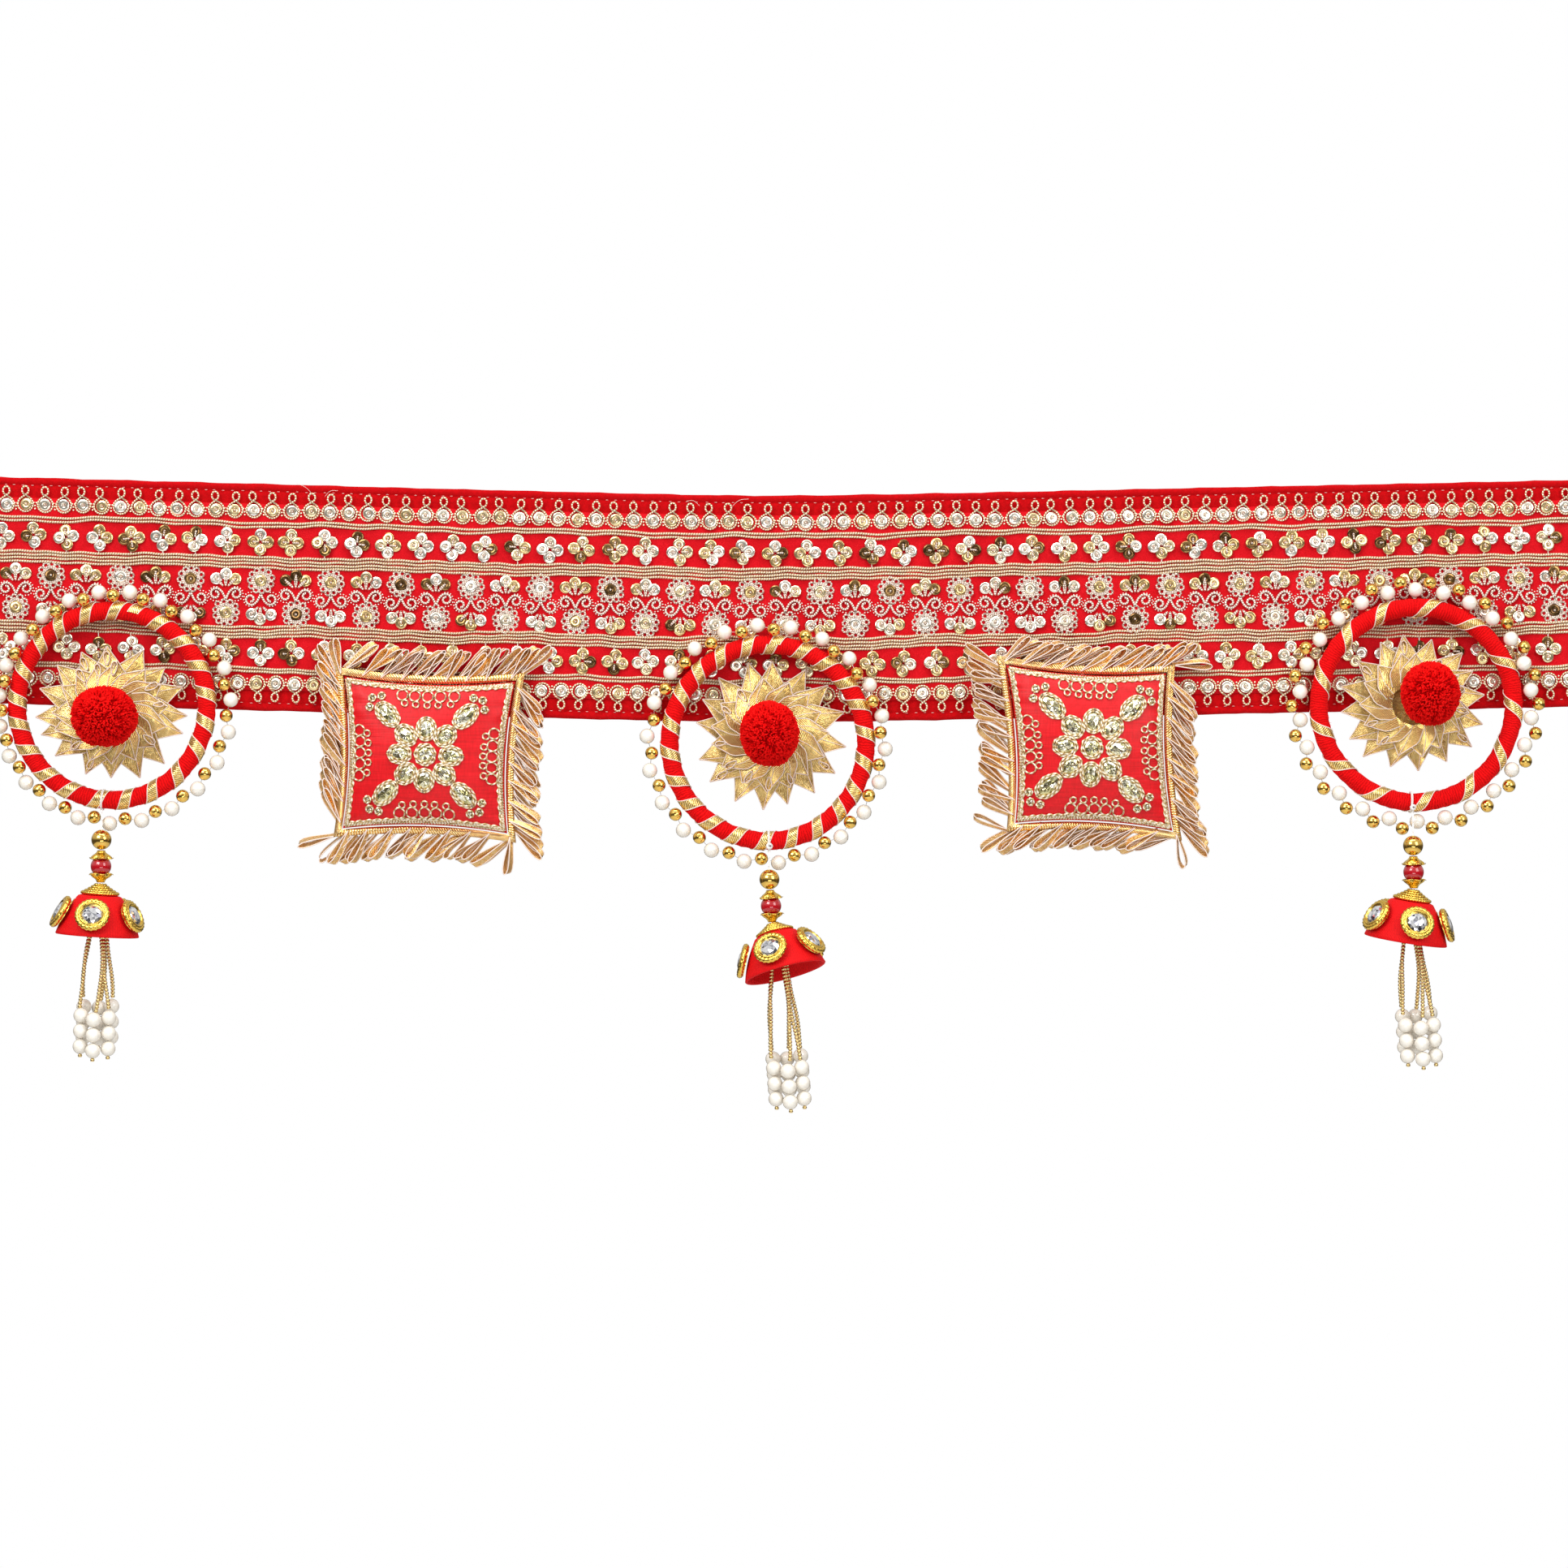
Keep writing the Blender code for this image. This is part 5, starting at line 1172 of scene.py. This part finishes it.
def build_fringe(side, looks):
    """Rows of gold ribbon loops with white edges, leaning clockwise round the cushion, on a woven strip."""
    cushion = CUSHIONS[side]
    draw = np.random.default_rng(100 + cushion["seed"])
    matrix = np.array(cushion_matrix(side), float)
    batch = Batch("fringe_ribbon_" + side, "gold_ribbon", [looks["fringe"], looks["edge"]])
    travel = np.linspace(0, 4, 121)[:-1]
    section = ((0.0005, -0.0009), (0.0036, -0.0007), (0.0036, 0.0009), (0.0005, 0.0009))
    ring = np.stack([edge_point(side, travel, s) + np.array((0.0, y, 0.0)) for s, y in section], 1)
    faces = grid_faces(len(travel), 4, wrap_rows=True, wrap_columns=True)
    uv = np.stack(np.broadcast_arrays(travel[:, None] * 0.06, np.arange(4)[None] * 0.002), -1)
    batch.add(ring @ matrix[:3, :3].T + matrix[:3, 3], faces, uv=uv)
    # Each row: how far out its roots lie, how far back, its loop length, its loops and their shift.
    rows = ((0.0026, -0.0012, 0.0150, 34, 0.0), (0.0044, -0.0002, 0.0160, 34, 0.5),
            (0.0036, 0.0014, 0.0165, 30, 0.2))
    bend = np.linspace(0, 2 * np.pi, 17)
    for spread, back, length, count, shift in rows:
        for k in range(count):
            t = 4.0 * (k + shift + draw.uniform(-0.15, 0.15)) / count % 4.0
            root = edge_point(side, t, spread - 0.0012)
            ahead = unit(edge_point(side, t + 0.02, 0.0) - edge_point(side, t - 0.02, 0.0))
            outward = np.cross(ahead, (0.0, 1.0, 0.0))
            reach = cushion["reach"][int(t) % 4] - spread - 0.0006
            slant = math.asin(min(0.95, reach / length)) * draw.uniform(0.84, 1.04)
            long = length * draw.uniform(0.92, 1.04)
            half_width = draw.uniform(0.0016, 0.0023)
            direction = ahead * math.cos(slant) + outward * math.sin(slant)
            aside = outward * math.cos(slant) - ahead * math.sin(slant)
            tilt = draw.uniform(0.35, 1.0) * (1 if draw.random() < 0.8 else -1)
            share = (1 - np.cos(bend)) / 2
            swell = np.sin(bend) * (0.16 + 0.84 * share ** 1.3) * half_width
            loop = (root + np.array((0.0, back, 0.0)) + np.outer(share * long, direction)
                    + np.outer(swell, aside) + np.outer(share * draw.uniform(-0.0004, 0.0009), FRONT))
            width = draw.uniform(0.0030, 0.0036)
            deep = width * (-FRONT * math.cos(tilt) + aside * math.sin(tilt) * 0.9 - direction * 0.25)
            steps = np.linspace(0, 1, 3)[:, None, None]
            wall = loop[None] + deep * steps * (0.55 + 0.45 * share)[None, :, None]
            wall[..., 1] = np.clip(wall[..., 1], -0.0034, 0.0036)
            run = np.concatenate([[0], np.cumsum(np.linalg.norm(np.diff(loop, axis=0), axis=1))])
            uv = np.stack(np.broadcast_arrays(run[None], steps[..., 0] * width), -1)
            batch.add(wall @ matrix[:3, :3].T + matrix[:3, 3], grid_faces(3, len(bend)), uv=uv)
            for edge in (0, 2):
                made = tube(wall[edge] @ matrix[:3, :3].T + matrix[:3, 3], 0.00021, 4)
                batch.add(made[0], made[1], uv=made[2], material=1)
    return batch.make(["fringe_" + side])


# Drops

def tie_place(side):
    ring = RINGS[side]
    angle = math.radians(ring["tie"])
    outward = np.array((math.cos(angle), 0.0, math.sin(angle)))
    return ring_middle(side) + outward * ring["radius"], outward


def drop_matrices(side):
    """(matrix of the beads, matrix of the dome) as the CAD places them."""
    drop = DROPS[side]
    tube_middle, _ = tie_place(side)
    origin = Vector((tube_middle[0], tube_middle[1] - DROP_FORWARD, drop["top"]))
    chain = Matrix.Translation(origin) @ turn_y(drop["lean"])
    pivot = chain @ Vector((0.0, 0.0, -DOME_PIVOT))
    turn = turn_y(drop["roll"]) @ Matrix.Rotation(math.radians(drop["pitch"]), 4, "X")
    return chain, Matrix.Translation(pivot) @ turn @ Matrix.Translation((0.0, 0.0, DOME_PIVOT))


def twist(plies, lay):
    """Radius change that makes a tube look like a twisted cord."""
    return lambda run, angle: 1 + 0.20 * np.cos(plies * angle / 1.0 + 2 * np.pi * run / lay)


def build_tie(side, looks):
    """White thread: loops round the ring, a knot in front of it and the tail to the beads."""
    middle, outward = tie_place(side)
    across = np.cross((0.0, 1.0, 0.0), outward)
    batch = Batch("tie_thread_" + side, "white_thread", [looks["thread"]])
    t = np.linspace(0, 2 * np.pi, 37)[:-1]
    size = {"left": 0.0, "centre": 1.2, "right": 1.1}[side]
    for shift, reach in ((0.0, 0.00418), (0.0005, 0.00415)):
        path = (middle + reach * (np.outer(np.cos(t), (0.0, 1.0, 0.0)) + np.outer(-np.sin(t), outward))
                + across * shift)
        made = tube(path, 0.00019, 6, True, ref=across)
        batch.add(made[0], made[1])
    knot = np.array((middle[0], middle[1] - 0.0046, middle[2] - 0.0020))
    for k in range(3 if size else 0):
        spin = k * 1.1
        reach = 0.0008 * size
        loop = knot + np.outer(reach * np.cos(t), (math.cos(spin), 0.0, math.sin(spin))) + np.outer(
            reach * 1.3 * np.sin(t), (-math.sin(spin) * 0.6, -0.8, math.cos(spin) * 0.6))
        made = tube(loop, 0.00034 * size, 6, True, ref=across, bulge=twist(2, 0.0009))
        batch.add(made[0], made[1])
    chain, _ = drop_matrices(side)
    foot = np.array(chain @ Vector((0.0, 0.0, BEAD - 0.0002)))
    share = np.linspace(0, 1, 14)[:, None]
    start = knot if size else middle + outward * 0.0038 + FRONT * 0.0016
    for shift in (-0.00020, 0.00020):
        path = start * (1 - share) + foot * share + across * shift * np.cos(share * 9)
        made = tube(path, 0.00020, 6, ref=across)
        batch.add(made[0], made[1])
    return batch.make(["tie_" + side])


def cap_shape(upper):
    """A bead cap with five embossed petals that curl out at their tips."""
    sign = 1.0 if upper else -1.0
    neck_end = RED_DOWN - BEAD - 0.0002 if upper else 0.0064
    steps = 60
    angle = 2 * np.pi * np.arange(steps + 1) / steps
    petal = np.abs(np.cos(2.5 * angle)) ** 1.2
    rows = []
    # Each row: radius, extra radius at a petal, distance from the bead's middle, curl at a petal.
    profile = (
        (0.0003, 0, neck_end, 0),
        (0.0016, 0, neck_end, 0),
        (0.0017, 0, neck_end - 0.0006, 0),
        (0.0023, 0, 0.0050, 0),
        (0.0031, 0.0002, 0.0044, 0),
        (0.0034, 0.0007, 0.0038, 0),
        (0.0033, 0.0013, 0.0031, 0),
        (0.0032, 0.0018, 0.0028, 0.0007),
        (0.0032, 0.0017, 0.0026, 0.0006),
        (0.0031, 0.0011, 0.0028, 0.0),
        (0.0030, 0.0004, 0.0033, 0),
        (0.0020, 0, 0.0044, 0),
    )
    for base, grow, away, curl in profile:
        radius = base + grow * petal
        height = sign * (away + curl * petal ** 2) - RED_DOWN
        rows.append(np.stack([radius * np.cos(angle), radius * np.sin(angle), height], -1))
    verts = np.stack(rows, 1)
    faces = grid_faces(steps + 1, len(rows))
    return verts.reshape(-1, 3), faces if sign < 0 else faces[:, ::-1]


def dome_profile():
    shoulder, rim = DOME_SHOULDER, DOME_RIM
    t = np.linspace(0, 1, 12)
    x = shoulder[0] + (rim[0] - shoulder[0]) * t + 0.0008 * np.sin(np.pi * t)
    z = -shoulder[1] - (rim[1] - shoulder[1]) * t
    outer = [(0.0, 0.0), (0.004, 0.0), (0.0076, -0.0001), (0.0084, -0.0004)] + list(zip(x, z))
    steps = ((0.0002, -0.0003), (0.0009, -0.0003), (0.0012, 0.0001))
    lip = [(rim[0] - inset, rise - rim[1]) for inset, rise in steps]
    inner = [(a - 0.0012, b) for a, b in list(zip(x, z))[::-1][1:]]
    return outer + lip + inner + [(0.0070, -0.0022), (0.0, -0.0014)]


def rope_ring(radius, thick, height, grain, sides=6):
    """A ring of twisted wire that lies flat."""
    steps = int(2 * math.pi * radius / grain) * 4
    path = circle_path(radius, steps) + np.array((0.0, 0.0, height))
    spacing = 2 * math.pi * radius / (steps / 4)
    return tube(path, thick, sides, True, (0, 0, 1),
                bulge=lambda run, angle: 1 + 0.24 * np.sin(2 * np.pi * run / spacing + angle))


def stone_faces(radius, height, draw):
    """Facets of a round stone: (verts, faces, tones), each facet on its own points, with a random tone per
    facet as a painted reflection.
    """
    rings = []
    for k, (share, level) in enumerate(((1.0, 0.0), (0.93, 0.30), (0.72, 0.72), (0.46, 1.0), (0.02, 1.04))):
        a = 2 * np.pi * (np.arange(12) + 0.5 * (k % 2)) / 12
        wide = radius * share
        rings.append(np.stack([wide * np.cos(a), wide * np.sin(a), np.full(12, height * level)], -1))
    tris, tones = [], []
    for k, (low, high) in enumerate(zip(rings, rings[1:])):
        for i in range(12):
            j = (i + 1) % 12
            if k % 2 == 0:
                pair = ((low[i], low[j], high[i]), (low[j], high[j], high[i]))
            else:
                pair = ((low[i], high[j], high[i]), (low[i], low[j], high[j]))
            for corner in pair:
                tris.append(corner)
                # A random tone per facet: a painted reflection.
                tones.append(draw.choice([0.0, 0.25, 0.45, 0.7, 0.9, 1.0]))
    verts = np.array(tris).reshape(-1, 3)
    return verts, np.arange(len(verts)).reshape(-1, 3), np.repeat(tones, 3)


def build_drop(side, looks):
    draw = np.random.default_rng(120 + len(side))
    chain, dome = drop_matrices(side)
    build_tie(side, looks)
    # Each bead: its piece, radius, distance down, look, slot and node.
    beads = (
        ("drop_gold_bead_", BEAD, 0.0, "gold", "gold_plate", "bead_gold_"),
        ("drop_red_bead_", RED_BEAD, RED_DOWN, "red_glass", "red_glass", "bead_red_"),
    )
    for name, radius, down, look, slot, node in beads:
        batch = Batch(name + side, slot, [looks[look]])
        made = moved(ball(radius * 0.98, 32, 18), chain @ Matrix.Translation((0.0, 0.0, -down)))
        batch.add(made[0], made[1])
        batch.make([node + side])
    caps = Batch("drop_caps_" + side, "gold_plate", [looks["rope"]])
    for upper in (True, False):
        made = moved(cap_shape(upper), chain)
        caps.add(made[0], made[1])
    caps.make(["cap_top_" + side, "cap_low_" + side])
    cone = Batch("drop_cone_" + side, "gold_plate", [looks["rope"]])
    top = Matrix.Translation((0.0, 0.0, -DOME_TOP))
    core = revolve([(0.0, 0.0044), (0.0015, 0.0044), (0.0018, 0.0037), (0.0066, 0.0004), (0.0066, 0.0001),
                    (0.0, 0.0001)], 40)
    made = moved(core, dome @ top)
    cone.add(made[0], made[1])
    coils = ((0.0020, 0.0039), (0.0031, 0.0031), (0.0043, 0.0023), (0.0056, 0.0015), (0.0069, 0.0008))
    for radius, height in coils:
        made = moved(rope_ring(radius, 0.00062, height, 0.0011), dome @ top)
        cone.add(made[0], made[1])
    cone.make(["cone_" + side])
    bell = Batch("drop_bell_" + side, "red_silk", [looks["dome"]])
    made = moved(revolve(dome_profile(), 72), dome @ top)
    bell.add(made[0], made[1], uv=made[2])
    bell.make(["dome_" + side])
    build_studs(side, dome, draw, looks)
    build_strands(side, dome, draw, looks)


def build_studs(side, dome, draw, looks):
    """Five stones in rope-edged settings round the dome."""
    rims = Batch("drop_studs_" + side, "gold_plate", [looks["rope"]])
    stones = Batch("drop_stones_" + side, "gold_plate", [looks["crystal"]], smooth=False)
    shoulder, rim = DOME_SHOULDER, DOME_RIM
    share = (STUD_DOWN - shoulder[1]) / (rim[1] - shoulder[1])
    reach = shoulder[0] + (rim[0] - shoulder[0]) * share + 0.0008
    slope = math.atan2(rim[0] - shoulder[0], rim[1] - shoulder[1])
    steps = 88
    path = circle_path(0.00565, steps) + np.array((0.0, 0.0, 0.0016))
    rope = tube(path, 0.00118, 8, True, (0, 0, 1),
                bulge=lambda run, angle: 1 + 0.13 * np.sin(22 * run / 0.00565 + 1.6 * angle))
    seat = revolve([(0.0060, 0.0002), (0.0060, 0.0012), (0.0050, 0.0030), (0.0045, 0.0030), (0.0044, 0.0018),
                    (0.0, 0.0018)], 36)
    for k in range(5):
        around = math.radians(DROPS[side]["stud_turn"] - 90.0) + 2 * math.pi * k / 5
        matrix = (dome @ Matrix.Rotation(around, 4, "Z")
                  @ Matrix.Translation((reach, 0.0, -DOME_TOP - STUD_DOWN))
                  @ Matrix.Rotation(math.pi / 2 - slope, 4, "Y") @ Matrix.Translation((0.0, 0.0, 0.0003)))
        for shape in (rope, seat):
            made = moved(shape, matrix)
            rims.add(made[0], made[1])
        verts, faces, tones = stone_faces(0.0045, 0.0016, draw)
        made = moved((verts + np.array((0.0, 0.0, 0.0019)), faces), matrix)
        stones.add(made[0], made[1], tones)
    rims.make([f"stud_{side}_{k + 1}" for k in range(5)])
    stones.make()


def build_strands(side, dome, draw, looks):
    """Strands of seed beads that end in pearls."""
    drop = DROPS[side]
    head = dome @ Vector((0.0, 0.0, -(DOME_TOP + 0.0012 + 0.0003 + 0.0026)))
    matrix = np.array(Matrix.Translation(head) @ turn_y(drop["strand_lean"]), float)
    seeds = Batch("strand_seeds_" + side, "gold_plate", [looks["seed"]])
    pearls = Batch("strand_pearls_" + side, "pearl", [looks["pearl"]])
    barrel = revolve([(0.0003, 0.00066), (0.00070, 0.00058), (0.00086, 0.0), (0.00070, -0.00058),
                      (0.0003, -0.00066)], 8)
    knot = ball(0.0024, 14, 8)
    seeds.add(knot[0] + matrix[:3, 3], knot[1])
    pearl = ball(PEARL, 16, 9)
    for k, stagger in enumerate(STRAND_STAGGER):
        around = math.radians(30.0) + 2 * math.pi * k / len(STRAND_STAGGER)
        spoke = np.array((math.cos(around), math.sin(around), 0.0))
        shown = around + math.radians(STRAND_TURNS[k])
        hang = np.array((math.cos(shown), math.sin(shown), 0.0))
        first = 0.0396 + stagger + drop["longer"]
        stops = np.array([0.0, 0.0115, first - PEARL])
        circle = np.array([0.0018, 0.0028, 0.0063])
        down = np.arange(0.0016, first - PEARL - 0.0004, 0.00136)
        reach = np.interp(down, stops, circle)
        sway = 0.00022 * np.sin(down * 260 + k * 2.1)
        gathered = (down / first)[:, None] ** 3
        spread = hang * reach[:, None] * np.array((1.25, 1.0, 1.0)) * (1 - gathered)
        local = spread + spoke * reach[:, None] * gathered + np.stack([sway, np.zeros(len(down)), -down], -1)
        ahead = unit(np.gradient(local, axis=0))
        turns = facing(ahead @ matrix[:3, :3].T + draw.uniform(-0.10, 0.10, (len(down), 3)))
        seeds.scatter(barrel, local @ matrix[:3, :3].T + matrix[:3, 3], turns)
        for i in range(3):
            place = spoke * 0.0063 + np.array((0.0, 0.0, -(first + i * 0.00605)))
            pearls.add(pearl[0] + (matrix[:3, :3] @ place + matrix[:3, 3]), pearl[1])
        place = spoke * 0.0063 + np.array((0.0, 0.0, -(first + 2 * 0.00605 + PEARL + 0.0006)))
        seeds.scatter(barrel, [matrix[:3, :3] @ place + matrix[:3, 3]])
    pearls.make()
    return seeds.make(["strands_" + side])


# Stage

def build_stage():
    scene = bpy.context.scene
    scene.view_settings.view_transform = "Standard"
    world = bpy.data.worlds.new("studio")
    scene.world = world
    world.use_nodes = True
    tree = world.node_tree
    tree.nodes.clear()
    output = tree.nodes.new("ShaderNodeOutputWorld")
    mix = tree.nodes.new("ShaderNodeMixShader")
    seen = tree.nodes.new("ShaderNodeBackground")
    seen.inputs["Color"].default_value = (1.0, 1.0, 1.0, 1.0)
    seen.inputs["Strength"].default_value = 1.0
    light = tree.nodes.new("ShaderNodeBackground")
    light.inputs["Strength"].default_value = 0.74
    coordinate = tree.nodes.new("ShaderNodeTexCoord")
    ramp = tree.nodes.new("ShaderNodeValToRGB")
    split = tree.nodes.new("ShaderNodeSeparateXYZ")
    height = tree.nodes.new("ShaderNodeMapRange")
    height.inputs["From Min"].default_value = -1.0
    stops = ((0.0, (0.50, 0.48, 0.46)), (0.40, (0.10, 0.09, 0.08)), (0.50, (0.20, 0.19, 0.18)),
             (0.62, (0.85, 0.84, 0.83)),
             (1.0, (1.0, 1.0, 1.0)))
    while len(ramp.color_ramp.elements) < len(stops):
        ramp.color_ramp.elements.new(0.5)
    for element, (where, colour) in zip(ramp.color_ramp.elements, stops):
        element.position = where
        element.color = (*colour, 1.0)
    path = tree.nodes.new("ShaderNodeLightPath")
    link = tree.links.new
    link(coordinate.outputs["Generated"], split.inputs[0])
    link(split.outputs[2], height.inputs[0])
    link(height.outputs[0], ramp.inputs[0])
    link(ramp.outputs[0], light.inputs["Color"])
    link(path.outputs["Is Camera Ray"], mix.inputs[0])
    link(light.outputs[0], mix.inputs[1])
    link(seen.outputs[0], mix.inputs[2])
    link(mix.outputs[0], output.inputs[0])
    target = Vector((0.0, -0.01, -0.11))
    # Each lamp: where it is, its width and height, and its power.
    lamps = (
        ((-0.9, -1.2, 0.75), 0.9, 0.7, 15.0),
        ((1.0, -1.1, 0.45), 0.7, 0.9, 8.0),
        ((0.1, -1.5, -0.55), 1.0, 0.3, 3.0),
        ((0.0, -0.5, 1.0), 1.2, 0.3, 6.0),
    )
    for k, (place, width, tall, power) in enumerate(lamps):
        data = bpy.data.lights.new(f"lamp_{k + 1}", "AREA")
        data.shape = "RECTANGLE"
        data.size, data.size_y, data.energy = width, tall, power
        lamp = bpy.data.objects.new(data.name, data)
        lamp.location = place
        lamp.rotation_euler = (target - Vector(place)).to_track_quat("-Z", "Y").to_euler()
        scene.collection.objects.link(lamp)
    mesh = bpy.data.meshes.new("floor")
    mesh.from_pydata([(-2, -2, -1.1), (2, -2, -1.1), (2, 2, -1.1), (-2, 2, -1.1)], [], [(0, 1, 2, 3)])
    mesh.materials.append(plain("floor_paint", (0.8, 0.8, 0.79), 0.7))
    floor = bpy.data.objects.new("floor", mesh)
    scene.collection.objects.link(floor)
    data = bpy.data.cameras.new("camera")
    data.sensor_width = 36.0
    data.lens = 36.0 * 1.6 / 0.6182
    data.clip_end = 10.0
    camera = bpy.data.objects.new("camera", data)
    camera.location = (0.0064, -1.607, -0.1142)
    camera.rotation_euler = (math.pi / 2, 0.0, 0.0)
    scene.collection.objects.link(camera)
    scene.camera = camera


def main():
    looks = make_looks()
    backing = build_backing(looks)
    net = build_net(looks)
    work = [build_cords(looks), build_scallops(looks), *build_sequins(looks), build_motifs(looks),
            build_links(looks)]
    stitches = build_stitches(looks)
    for side in SIDES:
        build_ring(side, looks)
        build_bead_string(side, looks)
        build_flower(side, looks)
        build_pompom(side, looks)
        build_drop(side, looks)
    for side in CUSHIONS:
        _, surface = build_cushion(side, looks)
        build_embroidery(side, surface, looks)
        build_fringe(side, looks)
    build_stage()


main()
